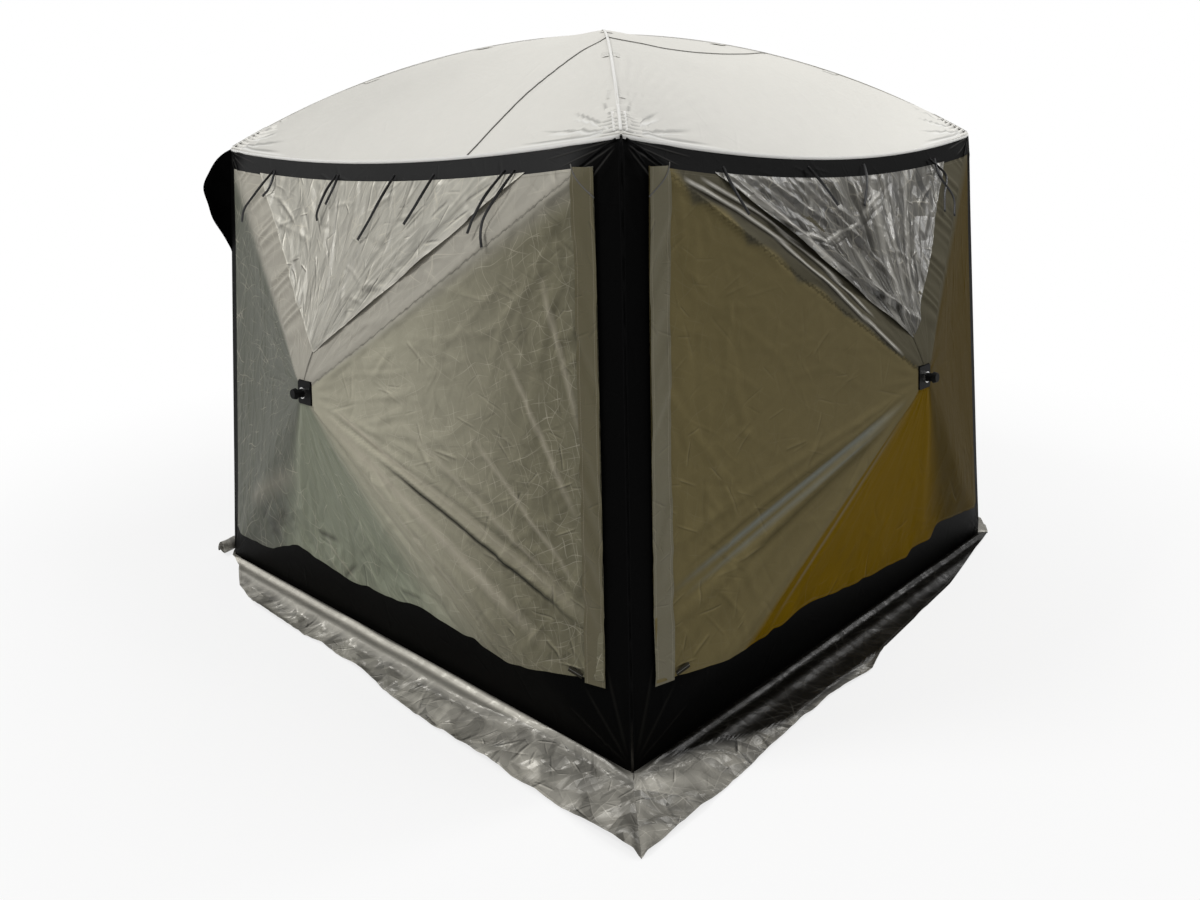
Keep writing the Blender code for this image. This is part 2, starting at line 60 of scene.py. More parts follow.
def makeCamera(values):
    # forward from yaw and pitch, then right and down turned by the roll
    yaw, pitch, roll = values["yaw"], values["pitch"], values["roll"]
    forward = np.array([-math.sin(yaw) * math.cos(pitch), math.cos(yaw) * math.cos(pitch), -math.sin(pitch)])
    level = np.array([math.cos(yaw), math.sin(yaw), 0.0])
    down = np.cross(forward, level)
    right = math.cos(roll) * level + math.sin(roll) * down
    down = -math.sin(roll) * level + math.cos(roll) * down
    data = bpy.data.cameras.new("tentCamera")
    data.lens, data.sensor_width = values["lens"], 36.0
    camera = bpy.data.objects.new("tentCamera", data)
    standAt(camera, right, -down, -forward, values["place"])
    scene.camera = camera


makeCamera(cameraSet)
print("camera placed")

# main sizes in metres, as in the CAD source
tent = {"eaveHalf": 1.05, "baseHalf": 1.20, "eaveHeight": 1.75, "apexHeight": 2.145, "hubUp": 0.962, "hubOut": 0.312,
        "rimDrop": 0.006, "ridgeBow": 0.095, "hemHeight": 0.0035, "holeHalf": 0.0395,
        "eaveSag": (0.057, 0.074, 0.066, 0.066), "eavePush": 0.03,
        # outward range from which each wall piece's start and end points are found, and the extra layer height of the
        # layers between the trims
        "giveRange": 0.33, "late": 0.006}
eaveHalf, baseHalf, hubUp, hole, hem = (tent[key] for key in ("eaveHalf", "baseHalf", "hubUp", "holeHalf", "hemHeight"))
lean = math.atan2(baseHalf - eaveHalf, tent["eaveHeight"])
wallLong = math.hypot(baseHalf - eaveHalf, tent["eaveHeight"])
halfSlope = (eaveHalf - baseHalf) / wallLong
poleSlope = math.atan2(wallLong - hubUp, eaveHalf)
wallNames = ("front", "right", "back", "left")
# the placket is at +u on the front and back walls and at -u on the other two; U is the distance towards it
placketSide = (1, -1, 1, -1)
shadedWalls = ("right", "back")


def smoothStep(t):
    # 3t² − 2t³ between 0 and 1
    t = np.clip(t, 0.0, 1.0)
    return t * t * (3 - 2 * t)


def bell(x):
    # e to the −x²
    return np.exp(-x ** 2)


def latticeValue(i, j, seed):
    # one repeatable number from 0 to 1 for each lattice point: the fraction of a large sine
    value = np.sin(i * 127.1 + j * 311.7 + seed * 74.7) * 43758.5453
    return value - np.floor(value)


def softNoise(x, y, seed):
    # lattice numbers joined by smooth steps in both directions, −1 to 1
    i, j = np.floor(x), np.floor(y)
    a, b = smoothStep(x - i), smoothStep(y - j)
    low = latticeValue(i, j, seed) * (1 - a) + latticeValue(i + 1, j, seed) * a
    high = latticeValue(i, j + 1, seed) * (1 - a) + latticeValue(i + 1, j + 1, seed) * a
    return 2 * (low * (1 - b) + high * b) - 1


def facetNoise(x, y, seed):
    # heights on a slightly bent triangular lattice joined by flat triangles, −1 to 1
    x, y = x + 0.35 * softNoise(x * 0.6, y * 0.6, seed + 5), y + 0.35 * softNoise(x * 0.6 + 9, y * 0.6, seed + 6)
    a, b = x + y * 0.577, y * 1.155
    i, j = np.floor(a), np.floor(b)
    f, g = a - i, b - j
    here, right, above, both = (latticeValue(i + di, j + dj, seed) for di, dj in ((0, 0), (1, 0), (0, 1), (1, 1)))
    low = here + (right - here) * f + (both - right) * g
    high = here + (above - here) * g + (both - above) * f
    return 2 * np.where(f >= g, low, high) - 1


def foldSum(x, y, seed, count, xs, ys, angle, spread, longs, wides, highs, down=0.35):
    # many short pressed folds: each is a tent profile across a line that fades along it; down is the share of valleys
    dice = np.random.default_rng(seed)
    total = np.zeros_like(x)
    ranges = [dice.uniform(*span, count) for span in (xs, ys, longs, wides, highs)]
    for cx, cy, reach, wide, high, turn, sign in zip(*ranges, dice.normal(0, spread, count), dice.random(count)):
        heading = (angle(cx, cy) if callable(angle) else angle) + turn
        c, s = math.cos(heading), math.sin(heading)
        along = ((x - cx) * c + (y - cy) * s) / reach
        across = ((y - cy) * c - (x - cx) * s) / wide + 0.35 * np.sin(3.1 * along + sign * 9)
        shape = np.clip(1 - np.abs(across), 0, None) * np.clip(1 - along * along, 0, None)
        total += shape * (high if sign > down else -high)
    return total


def fromHub(x, y):
    # direction of a wall point from the hub, for folds that run out of it
    return math.atan2(y - hubUp, x)


def softMax(a, b, wide):
    # the larger of two, rounded where they are within wide of each other
    near = np.clip(wide - np.abs(a - b), 0, None)
    return np.maximum(a, b) + near * near / (4 * wide)


def wallHalf(z):
    return baseHalf + halfSlope * z


def eaveTop(u, k):
    # height of the eave along the wall: it sags by the wall's own sag in the middle
    return wallLong - tent["eaveSag"][k] * (1 - np.clip(u / eaveHalf, -1, 1) ** 2)


def wallShape(u, z, k, ridge=0.05):
    # outward height at (u, z): straight lines from the hub's hole to the border, the flattest side wins, with a slight
    # inward sag between the poles
    rise = np.maximum(z - hubUp, 1e-4)
    top = np.full_like(u, wallLong - 0.06)
    for _ in range(8):
        top = eaveTop(np.clip(u * (top - hubUp) / rise, -1.05, 1.05), k)
    edge = np.clip(u * (top - hubUp) / rise / eaveHalf, -1, 1)
    push = tent["eavePush"] * (1 - edge * edge)
    sides = [(z - hubUp) / (top - hubUp), (np.abs(u) - halfSlope * (z - hubUp)) / wallHalf(hubUp),
             (hubUp - z) / (hubUp - hem)]
    far = np.maximum(np.maximum(np.abs(u), np.abs(z - hubUp)), 1e-6)
    sides = [np.clip((q - q * 0.042 / far) / (1 - q * 0.042 / far), -1, 1.02) for q in sides]
    upright = softMax(sides[0], sides[2], 0.02)
    share = softMax(upright, sides[1], ridge * np.clip(np.maximum(upright, sides[1]) * 4, 0.05, 1))
    gap = np.abs(upright - sides[1])
    sag = 0.016 * smoothStep(gap / 0.45) * 4 * np.clip(share * (1 - share), 0, None)
    onTop = smoothStep((sides[0] - sides[1] + 0.03) / 0.06)
    return (tent["hubOut"] - tent["rimDrop"]) * (1 - share) + push * np.clip(share, 0, 1) * onTop - sag


def onWall(k, u, h, z):
    # from the wall's own place (right, outward, up) to the tent's
    turn = Matrix.Rotation(k * math.pi / 2, 4, "Z")
    m = np.array(turn @ Matrix.Translation((0, -baseHalf, 0)) @ Matrix.Rotation(-lean, 4, "X"))
    return np.stack([u, -h, z], axis=-1) @ m[:3, :3].T + m[:3, 3]


def quarterTurns(x, y, k):
    # a plan point turned by k quarter turns
    c, n = ((1, 0), (0, 1), (-1, 0), (0, -1))[k]
    return c * x - n * y, n * x + c * y


def tautFolds(U, z):
    # long low folds from the hub towards the lower end of the placket, shared by the layers of a wall: bells across lines
    total = np.zeros_like(U)
    r, heading = np.hypot(U, z - hubUp), np.arctan2(z - hubUp, U)
    for angle, wide, high in ((-0.50, 0.016, 0.0075), (-0.455, 0.020, -0.006), (-0.56, 0.022, 0.004),
                              (-0.41, 0.018, 0.004), (-0.31, 0.016, 0.003), (-0.72, 0.024, 0.004),
                              (-0.86, 0.020, -0.003), (-0.95, 0.02, 0.003), (-2.15, 0.03, 0.003)):
        across = (heading - angle) * r / (wide * 0.8 * (0.5 + r))
        total += 1.6 * high * bell(across) * smoothStep((r - 0.05) / 0.2) * smoothStep((1.25 - r) / 0.3)
    # short gathers round the hub plate
    gathers = (0.5 + 0.5 * np.cos(heading * 15 + np.sin(heading * 4))) ** 2
    return total + 0.0022 * gathers * smoothStep((r - 0.055) / 0.03) * smoothStep((0.24 - r) / 0.15)


def withLines(values, wanted):
    # the nearest of the values moves onto each wanted one
    values = values.copy()
    for w in wanted:
        values[np.argmin(np.abs(values - w))] = w
    return values


def parameters(columns, rows, low=0.0):
    # two grids: across from low to 1, and up from 0 to 1
    return np.meshgrid(np.linspace(low, 1, columns), np.linspace(0, 1, rows))


def wallParameters(columns, rows, half, low, high):
    # across −1 to 1 and up 0 to 1, with lines along the sides of the hub's hole
    across = withLines(np.linspace(-1, 1, columns), [v / half for v in (-hole, hole)])
    up = withLines(np.linspace(0, 1, rows), [(hubUp + v - low) / (high - low) for v in (-hole, hole)])
    return np.meshgrid(across, up)


def inHole(u, z):
    # quads whose middle lies in the hub's hole
    return (np.abs((u[:-1, :-1] + u[1:, 1:]) / 2) < hole) & (np.abs((z[:-1, :-1] + z[1:, 1:]) / 2 - hubUp) < hole)


def sheetMesh(name, patches, thick=0.0008, weld=False, surface=None):
    # patches: rows × columns grids of points, flat (place on the cloth), tint, edge (distance to the cut), crush (place of
    # the pressed lines, and their strength) and gone (quads left out)
    kinds = {"points": [], "flat": [], "tint": [], "edge": [], "crush": []}
    faces, start = [], 0
    for patch in patches:
        shape = patch["points"].shape[:2]
        grid = np.arange(shape[0] * shape[1]).reshape(shape) + start
        quads = np.stack([grid[:-1, :-1], grid[:-1, 1:], grid[1:, 1:], grid[1:, :-1]], axis=-1)
        faces.append(quads[~patch["gone"]] if "gone" in patch else quads.reshape(-1, 4))
        plain = {"tint": np.ones((*shape, 3)), "edge": np.ones(shape), "crush": np.dstack([patch["flat"], np.ones(shape)])}
        for kind, parts in kinds.items():
            parts.append(patch.get(kind, plain.get(kind)).reshape(len(grid.ravel()), -1))
        start += grid.size
    faces = np.concatenate(faces)
    used, faces = np.unique(faces, return_inverse=True)
    faces = faces.reshape(-1, 4)
    points, flats, tints, edges, crushes = (np.concatenate(parts)[used] for parts in kinds.values())
    if weld:
        _, first, same = np.unique(np.round(points, 5), axis=0, return_index=True, return_inverse=True)
        points, flats, tints, edges, crushes = (values[first] for values in (points, flats, tints, edges, crushes))
        faces = same.reshape(-1)[faces]
    # a quad with two corners in one place becomes a triangle
    apart = faces != np.roll(faces, -1, axis=1)
    faces, apart = faces[apart.sum(1) > 2], apart[apart.sum(1) > 2]
    loops, starts = faces[apart], np.cumsum(apart.sum(1)) - apart.sum(1)
    data = bpy.data.meshes.new(name)
    data.vertices.add(len(points))
    data.vertices.foreach_set("co", points.astype(np.float32).ravel())
    data.loops.add(len(loops))
    data.loops.foreach_set("vertex_index", loops.astype(np.int32))
    data.polygons.add(len(faces))
    data.polygons.foreach_set("loop_start", starts.astype(np.int32))
    data.polygons.foreach_set("use_smooth", np.ones(len(faces), bool))
    data.update(calc_edges=True)
    data.validate()
    # the cut edges are sharp, so that the thickness doesn't round the shading off there
    sides = np.zeros(len(data.loops), np.int32)
    data.loops.foreach_get("edge_index", sides)
    border = np.bincount(sides, minlength=len(data.edges)) == 1
    one = np.ones((len(points), 1))
    for label, kind, domain, field, values in (
            ("flat", "FLOAT_VECTOR", "POINT", "vector", np.hstack([flats, 0 * one])),
            ("crush", "FLOAT_VECTOR", "POINT", "vector", crushes),
            ("tint", "FLOAT_COLOR", "POINT", "color", np.hstack([tints, one])), ("edge", "FLOAT", "POINT", "value", edges),
            ("sharp_edge", "BOOLEAN", "EDGE", "value", border)):
        values = values if domain == "EDGE" else values.astype(np.float32)
        data.attributes.new(label, kind, domain).data.foreach_set(field, values.ravel())
    piece = bpy.data.objects.new(name, data)
    scene.collection.objects.link(piece)
    if surface:
        data.materials.append(surface)
    if thick:
        wall = piece.modifiers.new("thickness", "SOLIDIFY")
        wall.thickness, wall.offset = thick, -1
    return piece


def meshArea(patches):
    # sum of both triangles of every kept quad
    total = 0.0
    for patch in patches:
        p = patch["points"]
        across = p[1:, 1:] - p[:-1, :-1]
        quads = sum(np.linalg.norm(np.cross(*pair), axis=-1) for pair in (
            (p[:-1, 1:] - p[:-1, :-1], across), (across, p[1:, :-1] - p[:-1, :-1]))) / 2
        total += quads[~patch["gone"]].sum() if "gone" in patch else quads.sum()
    return total


def strapPatch(path, side, wide, thick):
    # a flat strap: a flat oval of eight points carried along the path, wide along side and thick across it
    path, side = np.asarray(path, float), np.broadcast_to(side, path.shape)
    ahead = np.gradient(path, axis=0)
    ahead /= np.linalg.norm(ahead, axis=1, keepdims=True)
    side = side - (side * ahead).sum(1, keepdims=True) * ahead
    side /= np.linalg.norm(side, axis=1, keepdims=True)
    across = np.array([-0.5, -0.47, 0.0, 0.47, 0.5, 0.47, 0.0, -0.47, -0.5]) * wide
    lift = np.array([0.0, 0.5, 0.5, 0.5, 0.0, -0.5, -0.5, -0.5, 0.0]) * thick
    up = np.cross(ahead, side)
    points = path[:, None, :] + side[:, None, :] * across[None, :, None] + up[:, None, :] * lift[None, :, None]
    # the two ends close onto the path
    points = np.concatenate([np.repeat(path[:1, None, :], 9, 1), points, np.repeat(path[-1:, None, :], 9, 1)])
    run = np.concatenate([[0], np.cumsum(np.linalg.norm(np.diff(path, axis=0), axis=1))])
    run = np.concatenate([run[:1], run, run[-1:]])
    across, run = np.meshgrid(across, run)
    return {"points": points, "flat": np.stack([across, run], axis=-1), "edge": wide / 2 - np.abs(across),
            "wide": wide, "long": run[-1, 0]}


def spline(knots, count):
    # a smooth path through the knots: uniform Catmull-Rom
    knots = np.asarray(knots, float)
    padded = np.vstack([2 * knots[0] - knots[1], knots, 2 * knots[-1] - knots[-2]])
    t = np.linspace(0, len(knots) - 1 - 1e-9, count)
    i = t.astype(int)
    f = (t - i)[:, None]
    a, b, c, d = padded[i], padded[i + 1], padded[i + 2], padded[i + 3]
    return 0.5 * (2 * b + (c - a) * f + (2 * a - 5 * b + 4 * c - d) * f ** 2 + (3 * b - 3 * c + d - a) * f ** 3)


def tone(red, green, blue):
    # a screen colour (0 to 255) as linear light
    return tuple(c / 12.92 if c <= 0.04045 else ((c + 0.055) / 1.055) ** 2.4 for c in (v / 255 for v in (red, green, blue)))


class Value:
    # an output of a node: arithmetic with it places Math nodes
    def __init__(self, sheet, socket):
        self.sheet, self.socket = sheet, socket

    def maths(self, operation, *others):
        return self.sheet.maths(operation, self, *others)

    def __add__(self, other):
        return self.maths("ADD", other)

    def __sub__(self, other):
        return self.maths("SUBTRACT", other)

    def __rsub__(self, other):
        return self.sheet.maths("SUBTRACT", other, self)

    def __mul__(self, other):
        return self.maths("MULTIPLY", other)

    def __truediv__(self, other):
        return self.maths("DIVIDE", other)

    def __abs__(self):
        return self.maths("ABSOLUTE")

    def times(self, factor, plus):
        return self.maths("MULTIPLY_ADD", factor, plus)

    def least(self, other):
        return self.maths("MINIMUM", other)

    def most(self, other=0.0):
        return self.maths("MAXIMUM", other)


class NodeSheet:
    # places nodes in a tree and joins them
    def __init__(self, tree):
        self.tree, self.count = tree, 0

    def add(self, kind, inputs=None, **settings):
        node = self.tree.nodes.new(kind)
        self.count += 1
        node.location = (220 * (self.count % 9), -260 * (self.count // 9))
        for key, value in settings.items():
            setattr(node, key, value)
        for key, value in (inputs or {}).items():
            if isinstance(value, Value):
                self.tree.links.new(value.socket, node.inputs[key])
            else:
                node.inputs[key].default_value = value
        return lambda key=0: Value(self, node.outputs[key])

    def maths(self, operation, a, b=0.0, c=0.0):
        return self.add("ShaderNodeMath", {0: a, 1: b, 2: c}, operation=operation)()

    def vector(self, operation, a, b=(0, 0, 0), scale=1.0, out=0):
        return self.add("ShaderNodeVectorMath", {0: a, 1: b, 3: scale}, operation=operation)(out)

    def split(self, vector):
        parts = self.add("ShaderNodeSeparateXYZ", {0: vector})
        return [parts(i) for i in range(3)]

    def noise(self, place, scale, detail, out="Fac", rough=0.5, size="3D"):
        return self.add("ShaderNodeTexNoise", {"Vector": place, "Scale": scale, "Detail": detail, "Roughness": rough},
                        noise_dimensions=size)(out)

    def cells(self, place, scale, **settings):
        return self.add("ShaderNodeTexVoronoi", {"Vector": place, "Scale": scale}, voronoi_dimensions="2D", **settings)

    def mixed(self, factor, a, b, blend="MIX"):
        inputs = {key: (*value[:3], 1.0) if isinstance(value, tuple) else value
                  for key, value in ((0, factor), (6, a), (7, b))}
        return self.add("ShaderNodeMix", inputs, data_type="RGBA", blend_type=blend)(2)


def newSheet(owner):
    # an empty node tree for a new material, or for the world
    owner.use_nodes = True
    owner.node_tree.nodes.clear()
    return NodeSheet(owner.node_tree)


def newGroup(name, numbers, outs):
    # a node group: its inputs are Place and numbers (vectors in the pull group), its outputs numbers
    group = bpy.data.node_groups.new(name, "ShaderNodeTree")
    for label in ("Place", *numbers):
        kind = "NodeSocketVector" if label in ("Place", "Start", "Along", "Across") else "NodeSocketFloat"
        group.interface.new_socket(label, in_out="INPUT", socket_type=kind)
    for label in outs:
        group.interface.new_socket(label, in_out="OUTPUT", socket_type="NodeSocketFloat")
    sheet = NodeSheet(group)
    return group, sheet, sheet.add("NodeGroupInput")


def weaveGroup():
    # plain weave: two crossed thread waves on the cloth's own flat coordinates
    group, sheet, given = newGroup("tentWeave", ("Threads",), ("Height", "Shade"))
    inputs = {"Vector": given("Place"), "Scale": given("Threads"), "Distortion": 1.5, "Detail": 1.0, "Detail Scale": 0.6}
    warp, weft = (sheet.add("ShaderNodeTexWave", inputs, bands_direction=d)("Fac") for d in "XY")
    sheet.add("NodeGroupOutput", {"Height": warp * weft, "Shade": (warp + weft).times(0.5, 0.5)})
    return group


def creaseGroup():
    # pressed cloth: in each cell of three crossing patterns one straight crease, a sharp line between two slopes, with its
    # own direction and depth
    group, sheet, given = newGroup("pressedCloth", ("Size", "Line", "Cover", "Spread"), ("Height", "Lines", "Sides"))
    place, size = given("Place"), given("Size")
    scale = sheet.maths("DIVIDE", 1.0, size)
    shift = sheet.vector("SUBTRACT", sheet.noise(place, scale * 1.3, 1.0, "Color", size="2D"), (0.5, 0.5, 0.5))
    moved = sheet.vector("ADD", place, sheet.vector("SCALE", shift, scale=size * 0.05))
    sums = None
    for grow, wider in ((1.0, 0.6), (1.5, 1.0), (2.2, 1.5)):
        fine = scale * grow
        # every cell: its middle, three dice and the distance to its border
        placed = sheet.vector("ADD", moved, (grow * 3.1, grow * 1.7, 0))
        cell = sheet.cells(placed, fine, feature="F1")
        border = sheet.cells(placed, fine, feature="DISTANCE_TO_EDGE")("Distance")
        x, y, _ = sheet.split(sheet.vector("SUBTRACT", placed, cell("Position")))
        dice = sheet.add("ShaderNodeSeparateColor", {0: cell("Color")})
        turn = (dice(0) - 0.5) * (given("Spread") * wider)
        c, s = turn.maths("COSINE"), turn.maths("SINE")
        across, along = (x * c + y * s) * fine, (y * c - x * s) * fine
        gap = abs(across)
        slope = gap.times(-9.0, 1.0).most().maths("POWER", 1.5)
        ends = (along * along).times(-1.5, 1.0).most()
        shown = ((given("Cover") - dice(2)) * 8.0).most().least(1.0)
        depth = dice(1).times(1.5, -0.5) * (ends * (border * 11.0).least(1.0) * shown)
        raised = slope * depth * (given("Line") / grow)
        line = (1.0 - gap / (fine * 0.0018)).most() * depth.most()
        # painted shade: one side of a crease is painted lighter and the other darker
        side = (across * 22.0).most(-1.0).least(1.0) * slope * depth
        sums = (sums[0] + raised, sums[1].most(line), sums[2] + side) if sums else (raised, line, side)
    sheet.add("NodeGroupOutput", dict(zip(("Height", "Lines", "Sides"), sums)))
    return group


def facetGroup():
    # crumpled film: pyramids of three sizes, turned against each other; every side has its own painted shade, as if lit
    # from one side, and the four ridges from a peak are thin painted highlight lines
    group, sheet, given = newGroup("crumpledFacets", ("Size", "Stretch"), ("Height", "Shade", "Lines"))
    scale = sheet.maths("DIVIDE", 1.0, given("Size"))
    narrow = sheet.add("ShaderNodeCombineXYZ", {0: 1.0, 1: given("Stretch"), 2: 0.0})()
    place = sheet.vector("MULTIPLY", given("Place"), narrow)
    warp = sheet.noise(place, scale, 1.0, "Color", size="2D")
    place = sheet.vector("ADD", place, sheet.vector("SCALE", warp, scale=given("Size") * 0.35))
    sums = None
    for turn, grow, gain in ((0.35, 1.0, 0.9), (1.15, 1.8, 0.8), (2.05, 3.1, 0.6)):
        fine = scale * grow
        turned = sheet.add("ShaderNodeVectorRotate", {"Vector": place, "Angle": turn}, rotation_type="Z_AXIS")()
        cell = sheet.cells(turned, fine, feature="F1", distance="CHEBYCHEV")
        x, y, _ = sheet.split(sheet.vector("SUBTRACT", turned, cell("Position")))
        dice = sheet.add("ShaderNodeSeparateColor", {0: cell("Color")})
        sideways = abs(x).maths("GREATER_THAN", abs(y))
        first = x.maths("SIGN") * sideways * math.cos(turn - 0.9)
        second = y.maths("SIGN") * (1.0 - sideways) * math.sin(turn - 0.9)
        shade = (first + second) * dice(0).times(gain, 0.1 * gain)
        far = abs(x).most(abs(y)) * fine
        line = (1.0 - abs(abs(x) - abs(y)) / 0.0016).most() * dice(1) * far.times(-1.5, 1.0).most()
        height = far * given("Size") * (-gain / grow)
        sums = (sums[0] + height, sums[1] + shade, sums[2].most(line)) if sums else (height, shade, line)
    sheet.add("NodeGroupOutput", dict(zip(("Height", "Shade", "Lines"), sums)))
    return group


def pullGroup():
    # one long pulled fold: 1 on its line, falling evenly to 0 at its half width, faded over both ends
    group, sheet, given = newGroup("pulledFold", ("Start", "Along", "Across", "Long", "Wide"), ("Mask",))
    off = sheet.vector("SUBTRACT", given("Place"), given("Start"))
    run = sheet.vector("DOT_PRODUCT", off, given("Along"), out="Value") / given("Long")
    aside = abs(sheet.vector("DOT_PRODUCT", off, given("Across"), out="Value"))
    ends = (run * 5.0).most().least(1.0) * run.times(-4.0, 4.0).most().least(1.0)
    sheet.add("NodeGroupOutput", {"Mask": (1.0 - aside / given("Wide")).most() * ends})
    return group


def mottleGroup():
    # slow colour changes of coated cloth, and dust towards the ground
    group, sheet, given = newGroup("weatheredCoat", ("Amount",), ("Shade", "Dust"))
    broad, close = sheet.noise(given("Place"), 2.3, 4.0), sheet.noise(given("Place"), 37.0, 3.0)
    both = (broad - 0.5) + (close - 0.5) * 0.5
    low = sheet.split(given("Place"))[2].times(-6.0, 1.0).most()
    sheet.add("NodeGroupOutput", {"Shade": both.times(given("Amount"), 1.0), "Dust": low * close})
    return group


def stitchGroup():
    # a dashed thread line at a set distance from the cut edge
    group, sheet, given = newGroup("hemStitch", ("Edge", "Inset"), ("Thread", "Height"))
    edge, inset = given("Edge"), given("Inset")
    line = (1.0 - abs(edge - inset) / 0.0012).most()
    x, y, _ = sheet.split(given("Place"))
    dash = ((x + y) * 1400.0).maths("SINE").maths("GREATER_THAN", -0.3)
    hemmed = edge.maths("LESS_THAN", inset * 1.25)
    sheet.add("NodeGroupOutput", {"Thread": line * dash, "Height": hemmed.times(0.6, line * -1.0)})
    return group


def wearGroup():
    # moulded plastic and rods: fine grain, and a lighter rub where a second noise is high
    group, sheet, given = newGroup("mouldedGrain", ("Grain",), ("Height", "Rub"))
    rub = sheet.noise(given("Place"), 60.0, 5.0, rough=0.7)
    fine = sheet.noise(given("Place"), given("Grain"), 2.0)
    sheet.add("NodeGroupOutput", {"Height": fine, "Rub": rub.times(4.0, -2.3).most()})
    return group


groups = {"weave": weaveGroup(), "crease": creaseGroup(), "facet": facetGroup(), "pull": pullGroup(),
          "mottle": mottleGroup(), "stitch": stitchGroup(), "wear": wearGroup()}


def clothFinish(name, colour, roughness=0.6, specular=0.35, size=0.05, line=0.0006, cover=0.5, threads=260.0,
                thread=(0.5, 0.5, 0.5), mottle=0.25, lineShade=0.0, dust=(0.45, 0.41, 0.34), dusty=0.25, metallic=0.0,
                slow=0.0, useTint=True, spread=3.0, paintedRelief=0.0, facet=None, pulls=()):
    # woven coated cloth: colour × tint (mostly painted light and shade) × slow mottle, thread at the hems, dust near
    # the ground, painted shade on the sides of creases and film facets, painted highlight lines on creases and ridges,
    # painted highlight and shade lines along pulled folds, and bumps for weave, pressed lines and stitch; facet is
    # (size, stretch, depth, shade, line) of crumpled film
    material = bpy.data.materials.new(name)
    sheet = newSheet(material)
    flat, tint, edge, crushed = (sheet.add("ShaderNodeAttribute", attribute_name=label)(out) for label, out in (
        ("flat", "Vector"), ("tint", "Color"), ("edge", "Fac"), ("crush", "Vector")))
    strength = sheet.split(crushed)[2]

    def use(key, **inputs):
        return sheet.add("ShaderNodeGroup", inputs, node_tree=groups[key])

    weave = use("weave", Place=flat, Threads=threads)
    crush = small = use("crease", Place=crushed, Size=size, Line=line, Cover=cover, Spread=spread)
    if line and not facet:
        small = use("crease", Place=crushed, Size=size * 0.42, Line=line * 0.45, Cover=cover, Spread=spread)
    worn = use("mottle", Place=sheet.add("ShaderNodeTexCoord")("Object"), Amount=mottle)
    sewn = use("stitch", Place=flat, Edge=edge, Inset=0.009)
    base = sheet.mixed(1.0, colour, tint, "MULTIPLY") if useTint else colour
    base = sheet.mixed(0.16, base, weave("Shade"), "MULTIPLY")
    base = sheet.mixed(1.0, base, worn("Shade"), "MULTIPLY")
    sides = small("Sides").times(0.8, crush("Sides")) * paintedRelief
    creaseHighlight = crush("Lines").most(small("Lines")) * lineShade
    height = small("Height")
    if facet:
        filmSize, stretch, deep, shade, ridge = facet
        film = use("facet", Place=crushed, Size=filmSize, Stretch=stretch)
        sides = film("Shade").times(shade, sides)
        # no painted highlight lines where the cloth is smooth
        creaseHighlight = creaseHighlight.most(film("Lines") * ridge) * (strength * 1.5).least(1.0)
        height = film("Height") * deep
    # painted shade: one side of each crease and film facet darker, the other lighter
    if paintedRelief:
        base = sheet.mixed(1.0, base, sides.times(strength, 1.0).most(0.15), "MULTIPLY")
    # painted highlight along the crease lines
    base = sheet.mixed(creaseHighlight, base, tuple(min(1.0, c * 2.2 + 0.02) for c in colour))
    base = sheet.mixed(sewn("Thread") * 0.7, base, thread)
    base = sheet.mixed(worn("Dust") * dusty, base, dust)
    height = (crush("Height") + height) * strength
    for x0, y0, x1, y1, wide, high, amount, shade in pulls:
        # long pulled folds: a ridge or valley in the height, and its painted highlight or painted shade line
        long = math.dist((x0, y0), (x1, y1))
        ahead = ((x1 - x0) / long, (y1 - y0) / long, 0)
        mask = use("pull", Place=flat, Start=(x0, y0, 0), Along=ahead, Across=(-ahead[1], ahead[0], 0), Long=long,
                   Wide=wide)("Mask")
        base = sheet.mixed(mask * amount, base, shade)
        height = mask.times(high, height)
    if slow:
        height = sheet.noise(crushed, 9.0, 2.0, size="2D").times(slow, height)
    height = sewn("Height").times(0.0004, weave("Height").times(0.00006, height))
    finishSurface(sheet, height, {"Base Color": base, "Roughness": roughness, "Specular IOR Level": specular,
                                  "Metallic": metallic})
    return material


def finishSurface(sheet, height, inputs):
    # the shader with a bump from the height in metres
    bump = sheet.add("ShaderNodeBump", {"Strength": 1.0, "Distance": 1.0, "Height": height})()
    shader = sheet.add("ShaderNodeBsdfPrincipled", {**inputs, "Normal": bump})()
    sheet.add("ShaderNodeOutputMaterial", {"Surface": shader})


def hardFinish(name, colour, roughness, metallic=0.0, grain=900.0, rub=0.25, specular=0.4):
    # moulded or drawn parts: colour with a lighter rub on it, and a fine grain
    material = bpy.data.materials.new(name)
    sheet = newSheet(material)
    place = sheet.add("ShaderNodeTexCoord")("Object")
    worn = sheet.add("ShaderNodeGroup", {"Place": place, "Grain": grain}, node_tree=groups["wear"])
    base = sheet.mixed(worn("Rub") * rub, colour, tuple(min(1.0, c * 2.5 + 0.03) for c in colour))
    finishSurface(sheet, worn("Height") * 0.00003, {"Base Color": base, "Roughness": worn("Rub").times(0.15, roughness),
                                                    "Metallic": metallic, "Specular IOR Level": specular})
    return material


panelGrey, filmGrey = tone(150, 145, 131), tone(160, 157, 148)
litFold, silverFoldHighlight, brownFoldShade = tone(196, 188, 170), tone(128, 134, 130), tone(48, 42, 26)
brightFold, shadeFold = tone(196, 193, 184), tone(52, 49, 42)
